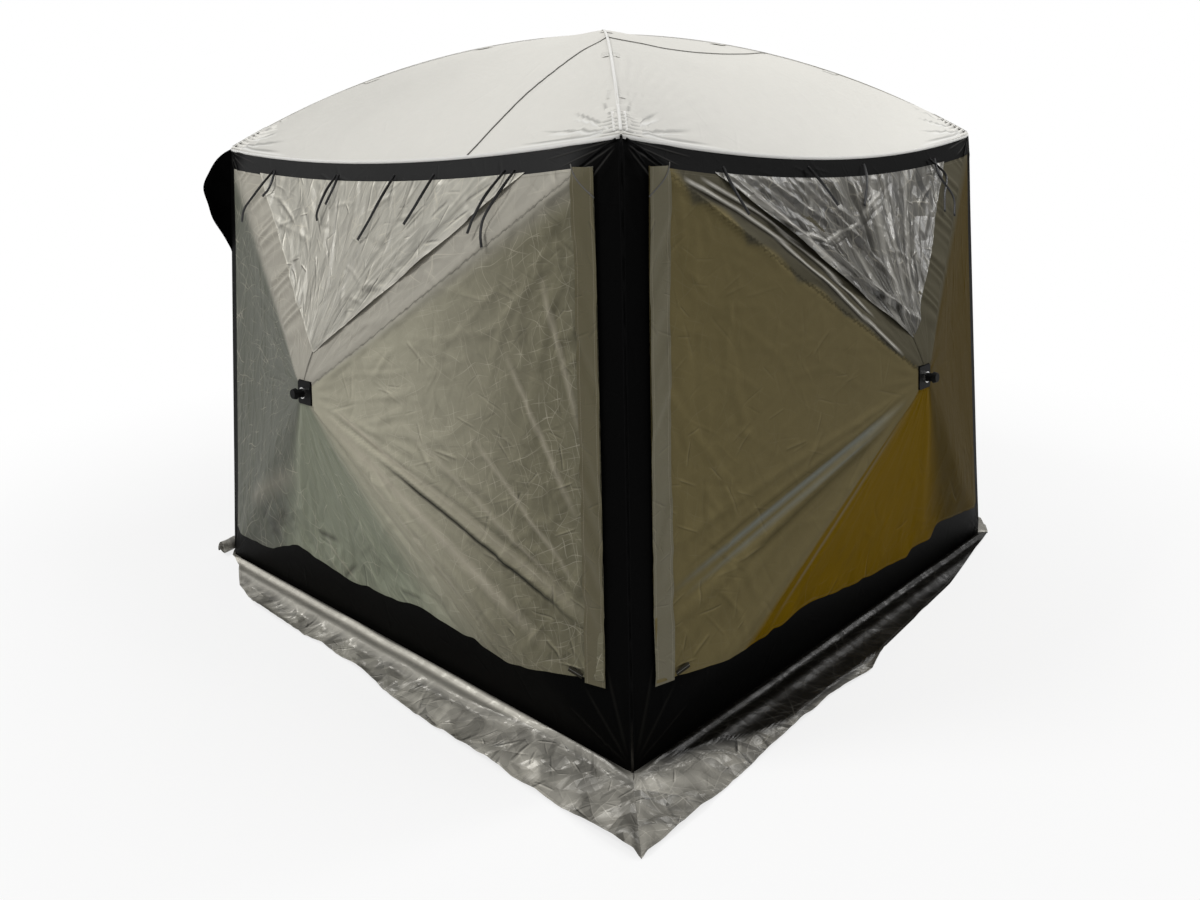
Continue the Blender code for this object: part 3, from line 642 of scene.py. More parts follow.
# long folds: start and end (across, up), half width, height, and how far the cloth goes to which shade; the shades are
# painted highlights and painted shade lines of the folds
panelFolds = [(0.05, 0.93, 0.92, 0.31, 0.030, 0.0050, 0.55, litFold),
    (0.14, 0.925, 0.40, 0.765, 0.014, 0.0030, 0.60, litFold), (0.26, 0.845, 1.06, 0.420, 0.022, 0.0045, 0.35, litFold),
    (0.28, 0.808, 1.06, 0.386, 0.009, -0.0050, 1.00, tone(28, 28, 24)),
    (-0.69, 0.25, -0.44, 0.44, 0.035, -0.004, 0.55, shadeFold),
    (-0.29, 0.375, -0.14, 0.375, 0.020, -0.004, 0.65, shadeFold),
    (-0.20, 0.20, -0.05, 0.31, 0.018, -0.004, 0.60, shadeFold), (0.20, 0.285, 0.33, 0.283, 0.016, -0.003, 0.45, shadeFold),
    (-0.24, 0.34, -0.10, 0.22, 0.014, 0.003, 0.35, litFold), (-0.85, 0.36, -0.22, 0.64, 0.060, 0.004, 0.22, litFold),
    (0.36, 0.93, 1.00, 0.465, 0.013, 0.0026, 0.30, litFold), (0.60, 0.93, 1.01, 0.512, 0.012, 0.0026, 0.35, litFold),
    (0.72, 1.175, 0.985, 0.71, 0.013, 0.0030, 0.40, litFold), (0.83, 1.40, 0.99, 0.93, 0.014, 0.0030, 0.35, litFold),
    (0.04, 0.92, 0.70, 0.27, 0.016, 0.0024, 0.22, litFold), (0.02, 0.90, 0.42, 0.24, 0.014, 0.0022, 0.18, litFold)]
shadedFolds = [(0.09, 0.905, 1.02, 0.500, 0.017, 0.0040, 0.75, silverFoldHighlight),
    (0.16, 0.855, 0.98, 0.475, 0.012, 0.0028, 0.50, silverFoldHighlight),
    (0.18, 0.835, 0.80, 0.510, 0.020, -0.0040, 0.45, brownFoldShade),
    (0.30, 0.835, 1.00, 0.545, 0.012, -0.0030, 0.40, brownFoldShade), (0.05, 0.90, 0.60, 0.235, 0.016, 0.0020, 0.30, silverFoldHighlight)]
flapFolds = [(0.72, 1.655, 0.03, 1.125, 0.020, 0.003, 0.35, brightFold),
    (0.60, 1.640, 0.05, 1.180, 0.014, -0.003, 0.35, shadeFold), (0.10, 1.660, 0.01, 1.160, 0.016, 0.003, 0.30, brightFold),
    (0.30, 1.665, 0.03, 1.190, 0.012, -0.003, 0.28, shadeFold),
    (-0.20, 1.665, -0.01, 1.170, 0.014, 0.003, 0.30, brightFold)]
shadedFlapFolds = [(0.80, 1.665, 0.02, 1.085, 0.022, 0.005, 0.85, brightFold),
    (0.70, 1.625, 0.10, 1.180, 0.013, -0.004, 0.80, shadeFold), (0.62, 1.625, 0.22, 1.310, 0.018, 0.004, 0.70, brightFold),
    (0.52, 1.580, 0.16, 1.270, 0.012, -0.004, 0.65, shadeFold), (0.66, 1.605, 0.50, 1.515, 0.014, 0.004, 0.60, brightFold),
    (0.53, 1.525, 0.38, 1.450, 0.010, 0.004, 0.70, brightFold), (0.51, 1.505, 0.36, 1.432, 0.008, -0.003, 0.80, shadeFold),
    (0.40, 1.462, 0.27, 1.425, 0.009, 0.004, 0.70, brightFold), (0.38, 1.440, 0.24, 1.408, 0.007, -0.003, 0.80, shadeFold),
    (0.30, 1.420, 0.15, 1.455, 0.009, 0.004, 0.65, brightFold), (0.27, 1.405, 0.13, 1.432, 0.007, -0.003, 0.70, shadeFold),
    (0.17, 1.450, 0.05, 1.470, 0.008, 0.004, 0.60, brightFold), (0.05, 1.452, -0.14, 1.520, 0.012, -0.004, 0.75, shadeFold),
    (-0.08, 1.520, -0.26, 1.590, 0.011, -0.004, 0.70, shadeFold),
    (0.03, 1.485, -0.20, 1.575, 0.011, 0.004, 0.55, brightFold), (-0.13, 1.66, 0.01, 1.100, 0.026, 0.005, 0.50, brightFold),
    (0.03, 1.62, 0.02, 1.100, 0.020, -0.004, 0.50, shadeFold), (-0.33, 1.58, -0.01, 1.100, 0.020, -0.004, 0.45, shadeFold),
    (-0.24, 1.66, -0.01, 1.110, 0.014, 0.004, 0.45, brightFold), (0.14, 1.42, 0.03, 1.100, 0.020, 0.004, 0.45, brightFold),
    (-0.42, 1.66, -0.02, 1.110, 0.016, 0.004, 0.45, brightFold)]
# lobes of slack cloth along the pole line, each a painted highlight fold with a painted shade fold under it
for x0, y0, x1, y1 in ((0.87, 1.640, 0.735, 1.572), (0.83, 1.622, 0.652, 1.530), (0.80, 1.640, 0.57, 1.522),
                       (0.71, 1.562, 0.493, 1.428), (0.66, 1.575, 0.42, 1.420), (0.59, 1.490, 0.348, 1.280),
                       (0.54, 1.490, 0.29, 1.290), (0.42, 1.350, 0.226, 1.158), (0.38, 1.360, 0.19, 1.180),
                       (0.26, 1.200, 0.10, 1.045)):
    shadedFolds += [(x0, y0, x1, y1, 0.010, 0.005, 0.85, brightFold),
                    (x0, y0 - 0.017, x1, y1 - 0.014, 0.009, -0.005, 0.85, shadeFold)]
trimFoldHighlights, roofFoldLightShade = [], []
for end in (-1, 1):
    # fine folds of the black trim that fan out of its corners, drawn as painted highlight lines, and pressed ones of
    # the canopy beside the eave, drawn as painted highlight and painted shade lines
    for top, across, low in ((1.748, 0.78, 1.716), (1.744, 0.80, 1.694), (1.738, 0.86, 1.672), (1.732, 0.91, 1.650),
                             (1.724, 0.955, 1.625)):
        trimFoldHighlights.append((end * 1.035, top, end * across, low, 0.004, 0.002, 0.70, tone(60, 59, 57)))
    for low, across, top in ((0.020, 0.98, 0.150), (0.030, 1.03, 0.235), (0.045, 1.09, 0.330)):
        trimFoldHighlights.append((end * 1.185, low, end * across, top, 0.007, 0.002, 0.40, tone(36, 35, 32)))
    for across, up, shade in ((0.66, 1.100, 92), (0.74, 1.078, 245), (0.70, 1.056, 100), (0.80, 1.030, 245),
                              (0.78, 1.004, 110), (0.86, 0.976, 120), (0.60, 1.112, 245)):
        roofFoldLightShade.append((end * 1.035, 1.112, end * across, up, 0.006, 0.002 if shade > 200 else -0.002, 0.50,
                          tone(shade, shade, shade - 3)))
sewing = tone(160, 156, 146)
panelLike = {"size": 0.15, "cover": 0.60, "mottle": 0.10, "thread": tone(120, 115, 100), "slow": 0.004}
flapLike = {"size": 0.080, "mottle": 0.10, "paintedRelief": 0.8, "thread": sewing, "slow": 0.004}
tapeLike = {"line": 0.0, "useTint": False}
finishes = {
    "canopy": clothFinish("canopyCloth", tone(216, 214, 207), 0.55, 0.4, size=0.16, line=0.0006, paintedRelief=0.07, cover=0.45,
                          mottle=0.08, thread=tone(225, 224, 220), slow=0.006, pulls=roofFoldLightShade),
    "black": clothFinish("blackCloth", tone(7, 7, 7), 0.6, 0.03, size=0.14, line=0.0012, cover=0.5, paintedRelief=0.6, mottle=0.3,
                         thread=tone(30, 30, 31), dust=tone(60, 55, 47), dusty=0.06, pulls=trimFoldHighlights),
    "net": clothFinish("insectNet", tone(30, 30, 30), 0.8, 0.1, size=0.2, line=0.0, threads=420.0, mottle=0.2),
    "panel": clothFinish("panelCloth", panelGrey, 0.58, 0.10, line=0.0022, lineShade=0.14, paintedRelief=0.35,
                         facet=(0.12, 0.8, 0.12, 0.08, 0.50), pulls=panelFolds, **panelLike),
    "panelShaded": clothFinish("panelClothShaded", panelGrey, 0.65, 0.02, line=0.0030, lineShade=0.08, paintedRelief=0.5,
                               facet=(0.17, 0.7, 0.10, 0.07, 0.06), pulls=shadedFolds, **panelLike),
    "flap": clothFinish("flapCloth", panelGrey, 0.42, 0.4, line=0.0034, cover=0.95, lineShade=0.24, metallic=0.08, spread=1.9,
                        facet=(0.085, 0.6, 0.22, 0.13, 0.6), pulls=flapFolds, **flapLike),
    "flapShaded": clothFinish("flapClothShaded", panelGrey, 0.38, 0.5, line=0.0030, cover=0.85, lineShade=0.20, metallic=0.12,
                              spread=2.2, facet=(0.095, 0.6, 0.34, 0.30, 0.5), pulls=shadedFlapFolds, **flapLike),
    "placket": clothFinish("placketCloth", panelGrey, 0.45, 0.4, size=0.10, line=0.0016, paintedRelief=0.8, mottle=0.10,
                           thread=tone(160, 150, 130)),
    "skirt": clothFinish("skirtFilm", filmGrey, 0.36, 0.5, size=0.110, line=0.0030, paintedRelief=0.8, cover=0.7, mottle=0.15,
                         lineShade=0.04, thread=tone(100, 96, 88), dusty=0.0, metallic=0.12, slow=0.004,
                         facet=(0.17, 0.7, 0.45, 0.30, 0.6)),
    "edging": clothFinish("edgingTape", tone(226, 225, 221), 0.6, 0.3, threads=500.0, mottle=0.1, **tapeLike),
    "tie": clothFinish("tieWebbing", tone(26, 26, 27), 0.5, 0.4, threads=900.0, mottle=0.2, **tapeLike),
    "seam": clothFinish("seamTape", tone(96, 94, 90), 0.6, 0.3, threads=500.0, mottle=0.1, **tapeLike),
    "gusset": clothFinish("gussetSeam", tone(12, 12, 12), 0.6, 0.05, threads=900.0, mottle=0.2, **tapeLike),
    "tab": clothFinish("tabTape", tone(48, 45, 36), 0.8, 0.1, threads=900.0, mottle=0.2, **tapeLike),
    "plastic": hardFinish("hubPlastic", tone(5, 5, 5), 0.5, specular=0.08, rub=0.15),
    "rod": hardFinish("rodGlassFibre", tone(26, 26, 28), 0.30, grain=300.0, rub=0.1),
    "metal": hardFinish("brightCollar", tone(200, 200, 198), 0.22, 1.0, grain=500.0, rub=0.1),
}
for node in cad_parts.values():
    for slot in node.material_slots:
        label = slot.material.name if slot.material else ""
        slot.material = finishes["metal" if "metal" in label else "rod" if "rod" in label else "plastic"]
print("finishes made")


def hang(piece, k, *nodes, layer=0.0):
    # a wall's piece: finds a start and end point over the wall from layer, its own height over the trim, bakes its
    # transform and hides the nodes given
    start, end = onWall(k, np.zeros(2), np.array([layer, tent["giveRange"] + layer]), np.full(2, hubUp))
    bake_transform(piece)
    if nodes:
        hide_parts(*nodes)


def wallPatch(k, u, h, z, edge, side=1, **more):
    # one grid of a wall's cloth; its flat place is (towards the placket, up)
    return {"points": onWall(k, u, h, z), "flat": np.stack([u * side, z], -1), "edge": edge, **more}


def toned(colour, base):
    # a screen colour as a tint over the cloth's own colour
    return np.array(tone(*colour)) / np.array(base)


# black trim: eave band, ground band and corner strips, with one slack corner
trim = {"top": 0.14, "side": 0.14, "base": 0.285, "slackOut": 0.085, "slackTall": 0.40, "grain": 90, "steps": 13,
        "bandLight": (12.4, 0.62)}


def trimLift(u, z, k):
    # narrow folds that fan out of the four corners; they stop where the wind panel covers the trim
    total = np.zeros_like(u)
    for end in (-1, 1):
        for half, foot, up, reach in ((eaveHalf, wallLong, -1, 0.34), (baseHalf, 0.0, 1, 0.42)):
            x, y = half - end * u, (z - foot) * up
            r, heading = np.hypot(x, y), np.arctan2(y, np.maximum(x, 1e-6))
            fan = (0.5 + 0.5 * np.cos(heading * 27 + 1.3 * np.sin(heading * 9) + end + k)) ** 3
            total += 0.0050 * fan * smoothStep((r - 0.012) / 0.06) * smoothStep((reach - r) / reach)
    bare = np.maximum(np.maximum(z - eaveTop(u, k) + 0.066, np.abs(u) - wallHalf(z) + 0.072), 0.150 - z)
    return total * smoothStep(bare / 0.02)


for k, wall in enumerate(wallNames):
    # eave band and ground band, mitred at the corners: across, up and distance from the outer edge
    s, a = parameters(2 * trim["grain"] + 1, trim["steps"], -1)
    z = eaveTop(s * (eaveHalf - trim["side"] * a * 0.93), k) - trim["top"] * a
    u = s * (wallHalf(z) - trim["side"] * a)
    highest = z[-1][-1]
    grids = [(u[::-1], z[::-1], trim["top"] * a[::-1])]
    z = hem + (trim["base"] - hem) * a
    grids.append((s * (wallHalf(z) - trim["side"] * a), z, trim["base"] * a))
    # corner strips between the two bands
    t, b = parameters(trim["steps"], trim["grain"] + 41)
    outer = hem + (wallLong - hem) * b
    z = outer + (trim["base"] + (highest - trim["base"]) * b - outer) * t
    u = wallHalf(z) - trim["side"] * t
    grids += [(-u, z, trim["side"] * t), (u[:, ::-1], z[:, ::-1], trim["side"] * t[:, ::-1])]
    built = []
    for u, z, inset in grids:
        # painted light: the eave band is painted lighter where light falls on it, to a dark grey on the front and back
        # walls and a little on the others
        bandLight = smoothStep((z - wallLong + 0.24) / 0.02) * smoothStep((0.99 - np.abs(u)) / 0.12) * trim["bandLight"][k % 2]
        h = wallShape(u, z, k) + trimLift(u, z, k)
        if wall == "left":
            # the slack corner bulges out beside the front wall
            across = np.clip((u - (wallHalf(z) - 0.082)) / 0.082, 0, 1)
            down = np.clip((wallLong - z) / trim["slackTall"], 0, 1)
            bulge = np.sin(math.pi * down ** 0.75) ** 1.1 * smoothStep(across / 0.7)
            bulge = bulge * (1 + 0.04 * np.sin(down * 19 + across * 7))
            h = h + trim["slackOut"] * bulge * (1 - 0.35 * across)
            u = u + 0.085 * bulge * across
        built.append(wallPatch(k, u, h, z, inset + 0.003, tint=np.repeat((0.6 + bandLight)[..., None], 3, -1)))
    piece = sheetMesh("trim_" + wall, built, surface=finishes["black"], weld=True)
    hang(piece, k, "wall_trim_" + wall)
    max(meshArea(built), 0.305 * 2.4 * wallLong)
print("trims hung")

# insect screens behind the panels, tucked under the trim
screen = {"behind": 0.013, "level": -0.0016, "under": 0.012, "columns": 81, "rows": 61}
for k, wall in enumerate(wallNames):
    low, drop = trim["base"] - screen["under"], trim["top"] - screen["under"]
    s, t = wallParameters(screen["columns"], screen["rows"], wallHalf(hubUp), low, eaveTop(0.0, k) - drop)
    z = low + (eaveTop(s * 0.91, k) - drop - low) * t
    u = s * (wallHalf(z) - trim["side"] + screen["under"])
    border = np.minimum(np.minimum(t, 1 - t), (1 - np.abs(s))) * 0.9
    back = smoothStep(border / 0.12) * smoothStep((np.hypot(u, z - hubUp) - 0.06) / 0.15)
    h = wallShape(u, z, k) + screen["level"] - screen["behind"] * back
    built = [wallPatch(k, u, h, z, border + 0.02, gone=inHole(u, z))]
    piece = sheetMesh("net_" + wall, built, thick=0.0005, surface=finishes["net"])
    hang(piece, k, "screen_" + wall, layer=tent["late"] + screen["level"] - screen["behind"])
print("screens hung")

# wind panels: hem heights at places from the far side to the placket side, and each facet's screen colour, which is
# painted light and shade, with the angle round the hub where the bottom facet starts
panel = {
    "level": 0.0030, "side": 0.078, "top": 0.072, "columns": 261, "rows": 181, "placketWide": 0.064, "placketFoot": 0.243,
    "placketOver": 0.004, "strapOver": 0.0105, "ruffle": 0.0070,
    "hem": {"front": ((-1.12, 0.165), (-0.88, 0.16), (-0.75, 0.17), (-0.61, 0.222), (-0.48, 0.255), (-0.34, 0.23),
                      (-0.17, 0.208), (0.0, 0.222), (0.13, 0.222), (0.28, 0.25), (0.40, 0.228), (0.53, 0.228), (0.61, 0.218),
                      (0.71, 0.198), (0.82, 0.22), (0.94, 0.246), (1.12, 0.262)),
            "right": ((-1.12, 0.175), (-0.64, 0.235), (-0.58, 0.18), (-0.42, 0.185), (-0.37, 0.16), (-0.15, 0.18),
                      (0.12, 0.205), (0.34, 0.238), (0.61, 0.222), (0.77, 0.224), (0.93, 0.246), (1.12, 0.25))},
    "paintedFacetShades": {"front": {"near": (174, 170, 151), "corner": (116, 112, 92), "top": (164, 160, 149), "bottom": (136, 140, 122),
                         "far": (97, 99, 89), "placket": (92, 86, 62), "split": -1.02, "soft": 0.45},
               "right": {"near": (113, 103, 73), "corner": (112, 102, 70), "top": (82, 78, 64), "bottom": (108, 84, 2),
                         "far": (70, 57, 19), "placket": (106, 101, 80), "split": -0.80, "soft": 0.05}}}
panel["hem"].update(back=panel["hem"]["right"], left=panel["hem"]["front"])
panel["paintedFacetShades"].update(back=panel["paintedFacetShades"]["front"], left=panel["paintedFacetShades"]["front"])


def facetLightShade(U, z, wall):
    # each facet's painted light and shade over the cloth's own colour, mixed by the angle round the hub
    values, heading = panel["paintedFacetShades"][wall], np.arctan2(z - hubUp, U)
    near, top, bottom, far, corner = (toned(values[key], panelGrey) for key in ("near", "top", "bottom", "far", "corner"))
    below = smoothStep((values["split"] - heading) / values["soft"] + 0.5) * (heading > -2.6)
    # the slack top facet ends in lobes on the right panel
    right = wall == "right"
    scallop = 0.045 * np.abs(np.sin(np.hypot(U, z - hubUp) * 15)) if right else 0.0
    above = smoothStep((heading - 0.62 - scallop) / (0.03 if right else 0.10) + 0.5)
    beyond = np.where(heading > 0, smoothStep((heading - 2.52) / 0.10 + 0.5), smoothStep((-2.25 - heading) / 0.25 + 0.5))
    colour = near
    for shade, share in ((corner, smoothStep((U - 0.25) / 0.7)), (top, above), (bottom, below), (far, beyond)):
        colour = colour + (shade - colour) * share[..., None]
    return colour


def foldShade(h, calm, z, gain):
    # painted shade: cloth that a fold turns upwards is painted lighter, and turned down darker: gain × the fold's own
    # slope along the rows
    slope = np.gradient(h - calm, axis=0) / np.maximum(np.abs(np.gradient(z, axis=0)), 1e-5)
    return (1 - gain * np.clip(slope, -0.55, 0.55))[..., None]


def crushPlace(U, z, wall):
    # the pattern's own coordinates, partly round and away from the hub so that the lines fan out of it, and its strength
    r, turn = np.hypot(U, z - hubUp), np.arctan2(z - hubUp, U)
    near = smoothStep((0.75 - np.abs(turn + 0.1)) / 0.5)
    mixed = np.where(np.abs(turn + 0.1) < 0.745, 0.0, 0.85)
    x, y = U * (1 - mixed) + np.arctan2(U, hubUp - z) * 0.55 * mixed, z * (1 - mixed) + r * 0.62 * mixed
    strength = 0.65 + 0.5 * near + 0.8 * smoothStep((0.50 - z) / 0.2) + 0.5 * smoothStep((U - 0.7) / 0.2)
    if wall in shadedWalls:
        strength = strength * 0.45
    # the pattern changes its course at two lines and rests there
    for course in (0.645, -0.845):
        strength = strength * smoothStep((np.abs(turn - course) * r - 0.008) / 0.025)
    return np.stack([x, y, strength * smoothStep((r - 0.05) / 0.15)], -1)


def windPanelHeight(u, z, k, edge, seed):
    # wall shape, shared taut folds, crush that depends on the facet, and ruffles along the far pole
    U, calmShape = u * placketSide[k], wallShape(u, z, k)
    folds = np.zeros_like(U)
    for more, count, xs, ys, angle, spread, longs, wides, highs in (
            (0, 70, (0.15, 0.95), (0.5, 1.6), fromHub, 0.35, (0.08, 0.30), (0.010, 0.024), (0.002, 0.006)),
            (6, 130, (0.12, 0.95), (0.55, 1.5), 0.8, 1.6, (0.05, 0.16), (0.009, 0.016), (0.0015, 0.0040)),
            (1, 60, (0.72, 1.00), (0.35, 1.6), 1.45, 0.30, (0.08, 0.28), (0.012, 0.024), (0.004, 0.011)),
            (4, 26, (0.55, 0.95), (0.25, 0.8), 1.9, 0.35, (0.08, 0.22), (0.012, 0.022), (0.003, 0.008)),
            (2, 120, (-1.0, 0.5), (0.18, 0.55), fromHub, 0.7, (0.04, 0.14), (0.012, 0.024), (0.002, 0.007)),
            (3, 80, (-1.08, -0.4), (0.4, 1.5), 1.4, 0.3, (0.1, 0.3), (0.012, 0.022), (0.0015, 0.005))):
        folds += foldSum(U, z, seed + more, count, xs, ys, angle, spread, longs, wides, highs)
    folds *= (0.5 if wallNames[k] in shadedWalls else 1.0) * 0.6
    if k == 1:
        # slack lobes above the pole line
        folds += foldSum(U, z, seed + 9, 44, (0.2, 0.8), (1.10, 1.62), poleSlope, 0.12, (0.10, 0.30), (0.012, 0.026),
                         (0.005, 0.014)) * smoothStep((z - hubUp - np.tan(poleSlope) * U + 0.02) / 0.02)
    # folds stay low enough to stay over the insect screen when the hub is in
    folds = np.where(folds < 0, np.maximum(folds * 0.35, -0.003), 0.009 * np.tanh(folds / 0.009))
    # along the far pole line and off it
    along = -U * math.cos(poleSlope) + (z - hubUp) * math.sin(poleSlope)
    off = (z - hubUp) * math.cos(poleSlope) + U * math.sin(poleSlope)
    calm = smoothStep((np.hypot(u, z - hubUp) - 0.09) / 0.25) * smoothStep((edge - 0.004) / 0.05)
    underFlap = smoothStep(((z - hubUp) * np.cos(poleSlope) - np.abs(U) * np.sin(poleSlope) - 0.100) / 0.015)
    total = calmShape + panel["level"] + 0.008 * np.tanh(tautFolds(U, z) / 0.008) + folds * calm * (1 - underFlap)
    # a valley stays clear of the trim behind it
    total = np.maximum(total, calmShape + 0.0014)
    band = smoothStep((off - 0.002) / 0.015) * smoothStep((0.125 - off) / 0.02) * smoothStep((along - 0.12) / 0.1)
    ripple = np.sin(along * 120 + 2.2 * np.sin(along * 17) + 1.3 * np.sin(along * 41) + off * 25) * 0.5 + 0.5
    total += panel["ruffle"] * band * smoothStep((1.25 - along) / 0.1) * ripple ** 1.4 * (0.6 + 0.4 * np.sin(along * 29))
    # the hem stands slightly off the ground band
    stand = np.where(z < 0.45, 1, 0) * (0.5 + 0.5 * np.sin(U * 31 + 1.5 * np.sin(U * 11)))
    return total + 0.006 * smoothStep((0.12 - edge) / 0.12) * stand


def hemHeight(U, wall):
    # a smooth line through the hem's knots, with a fine waver
    fine = spline(panel["hem"][wall], 400)
    return np.interp(U, fine[:, 0], fine[:, 1]) + 0.0035 * softNoise(U * 26, np.full_like(U, 3.3), 5)


for k, wall in enumerate(wallNames):
    side = placketSide[k]
    low, high = float(hemHeight(np.zeros(1), wall)[0]), float(eaveTop(0.0, k)) - panel["top"]
    s, t = wallParameters(panel["columns"], panel["rows"], wallHalf(hubUp) - panel["side"], low, high)
    bottom = hemHeight(s * side * 1.11, wall)
    z = bottom + (eaveTop(s * 0.985, k) - panel["top"] - bottom) * t
    u = s * (wallHalf(z) - panel["side"])
    edge = np.minimum(np.minimum(z - bottom, (1 - np.abs(s)) * 1.1), (1 - t) * 1.4)
    h = windPanelHeight(u, z, k, edge, 11 + 7 * k)
    # painted light and shade: each facet's colour, times painted shade of the folds
    tint = facetLightShade(u * side, z, wall) * foldShade(h, wallShape(u, z, k), z, 0.45)
    built = [wallPatch(k, u, h, z, edge + 0.001, side, tint=tint, crush=crushPlace(u * side, z, wall), gone=inHole(u, z))]
    piece = sheetMesh("panel_" + wall, built, surface=finishes["panelShaded" if wall in shadedWalls else "panel"])
    hang(piece, k, "wind_panel_" + wall, layer=tent["late"] + panel["level"])

    # placket: a second strip sewn along the panel's side at the corner
    a, b = parameters(9, 170)
    foot, over = panel["placketFoot"], panel["level"] + panel["placketOver"]
    z = foot + (eaveTop(eaveHalf * 0.95, k) - panel["top"] - 0.004 - foot) * b
    U = wallHalf(z) - panel["side"] + 0.003 - panel["placketWide"] * (1 - a)
    if side < 0:
        U, z, a, b = (grid[:, ::-1] for grid in (U, z, a, b))
    pucker = smoothStep((np.abs(softNoise(z * 7 + a, a * 0.5, 8 + k)) - 0.35) / 0.3)
    wave = (0.0022 * np.abs(softNoise(z * 16, a * 1.2, 31 + k)) + 0.0035 * pucker) * smoothStep(b / 0.03)
    h = wallShape(side * U, z, k) + tautFolds(U, z) + over + wave
    # the placket's colour, partly its own and partly painted light and shade, differs from wall to wall
    tint = np.ones((*U.shape, 3)) * toned(panel["paintedFacetShades"][wall]["placket"], panelGrey)
    strip = [wallPatch(k, side * U, h, z, panel["placketWide"] * np.minimum(a, 1 - a) + 0.001, side, tint=tint)]
    placket = sheetMesh("placket_" + wall, strip, surface=finishes["placket"])
    hang(placket, k, layer=tent["late"] + over)
print("wind panels hung")

# window flaps
# the flaps' lit colour, and a darker copy for the shaded walls, which is painted shade
flap = {"rise": 0.0055, "edgeOff": 0.108, "columns": 181, "rows": 131, "lift": 0.010, "tone": (176, 173, 162),
        "toneShaded": (91, 89, 83)}


def flapCorner(k):
    # where the flap's lower edge, a line above the pole line, meets its upper edge
    z = wallLong - panel["top"]
    for _ in range(40):
        x = (z - hubUp) / math.tan(poleSlope) - flap["edgeOff"] / math.sin(poleSlope)
        z = float(eaveTop(x, k)) - panel["top"]
    return x


for k, wall in enumerate(wallNames):
    side, shaded = placketSide[k], wall in shadedWalls
    cornerX, vertexZ = flapCorner(k), hubUp + flap["edgeOff"] / math.cos(poleSlope)
    s, t = parameters(flap["columns"], flap["rows"], -1)
    wide = 0.004 + (cornerX - 0.004) * t
    u, free = s * wide, (1 - np.abs(s)) * wide
    U = u * side
    z = vertexZ - 0.006 + (eaveTop(s * cornerX, k) - panel["top"] + 0.006 - vertexZ + 0.006) * t
    kinds = [(71 + k, 110, (-0.7, 0.7), (1.1, 1.68), fromHub, 0.25, (0.06, 0.26), (0.010, 0.022), (0.0015, 0.005), 0.4),
             (91 + k, 90, (-0.7, 0.7), (1.2, 1.68), 0.9, 1.2, (0.03, 0.10), (0.009, 0.018), (0.0010, 0.0035), 0.4)]
    if shaded:
        # long pressed folds beside the pole on the placket side, and deep ones across the middle
        kinds += [(131, 16, (0.10, 0.66), (1.15, 1.64), poleSlope, 0.08, (0.16, 0.40), (0.014, 0.030), (0.006, 0.014), 0.3),
                  (141, 14, (-0.4, 0.3), (1.2, 1.66), fromHub, 0.08, (0.20, 0.45), (0.020, 0.045), (0.005, 0.012), 0.4)]
    folds = sum(foldSum(U, z, *kind) for kind in kinds)
    folds = np.where(folds < 0, np.maximum(folds * 0.5, -0.0025), folds)
    calmShape = wallShape(u, z, k)
    # the lower edges stand off, more on the placket side
    curl = bell(free / 0.03) * smoothStep((1 - t) / 0.08) * smoothStep(t / 0.10)
    h = calmShape + flap["rise"] + np.minimum(folds, 0.024) * smoothStep((1 - t) / 0.03)
    h += flap["lift"] * curl * (0.35 + 0.65 * (U > 0)) * (0.7 + 0.3 * np.sin(t * 23 + side))
    # painted shade: the flap takes its wall's lit or shaded colour and painted fold shade; the sewn hem along both
    # lower edges catches the light as a painted highlight
    tint = toned(flap["toneShaded" if shaded else "tone"], panelGrey) * foldShade(h, calmShape, z, 0.9)
    tint = tint * (1 + 0.45 * bell((free - 0.003) / 0.006))[..., None]
    strength = np.full_like(u, 1.3 if shaded else 1.0)
    crush = np.stack([np.arctan2(U, z - hubUp) * 0.45, np.hypot(U, z - hubUp) * 0.5, strength], -1)
    built = [wallPatch(k, u, h, z, np.minimum(free, (1 - t) + 0.02) + 0.001, side, tint=tint, crush=crush)]
    piece = sheetMesh("flap_cloth_" + wall, built, surface=finishes["flapShaded" if shaded else "flap"])
    top = float(eaveTop(0.0, k)) - panel["top"]
    start, end = onWall(k, np.zeros(2), np.array([0.03, 0.05]), np.array([top + 0.002, top - 0.06]))
    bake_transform(piece)
    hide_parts("window_flap_" + wall)
    2 * cornerX
    meshArea(built)
print("flaps hung")

# canopy; the sinks are two distances from the middle, for the outer part and the part round the hub, from which start
# and end points are found
canopy = {"lift": 0.0012, "columns": 97, "rows": 70, "ring": 0.2, "outerSink": (1.05, -0.35), "innerSink": (0.525, 0.0)}


def canopyPoint(share, s, k, lift=0.0):
    # rays from the roof hub to the eave: a parabola over each ridge, and a sag between the ridges
    between, top = 1 - s * s, tent["apexHeight"]
    height = top + (tent["eaveHeight"] - top) * share + 4 * tent["ridgeBow"] * share * (1 - share)
    height = height - tent["eaveSag"][k] * between * share ** 1.5 + lift
    out = eaveHalf * share + tent["eavePush"] * between * share ** 2
    return np.stack([*quarterTurns(s * eaveHalf * share, -out, k), height], -1)


def canopyLift(share, s, k):
    # a slight crush, and fan folds from the corners
    inside = smoothStep((1 - np.abs(s)) / 0.1) * smoothStep((1 - share) / 0.05)
    total = 0.004 * softNoise(share * 9 + k * 3, s * share * 7, 41) * inside
    for end in (-1, 1):
        across = np.abs(share * (s - end))
        r, heading = np.hypot(across, 1 - share), np.arctan2(1 - share, across)
        fan = np.sin(heading * 22 + end) ** 4 * smoothStep(heading / 0.1)
        total += 0.007 * fan * smoothStep(r / 0.06) * smoothStep((0.5 - r) / 0.4)
    return total


def sinkWith(piece, k, inner=False):
    # gore k's piece: finds a start and end point from the canopy's sinks, the inner part's or the outer's, and bakes
    # its transform
    start, end = ((*quarterTurns(0, -out, k), 2) for out in canopy["innerSink" if inner else "outerSink"])
    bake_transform(piece)
    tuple(start)
    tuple(end)


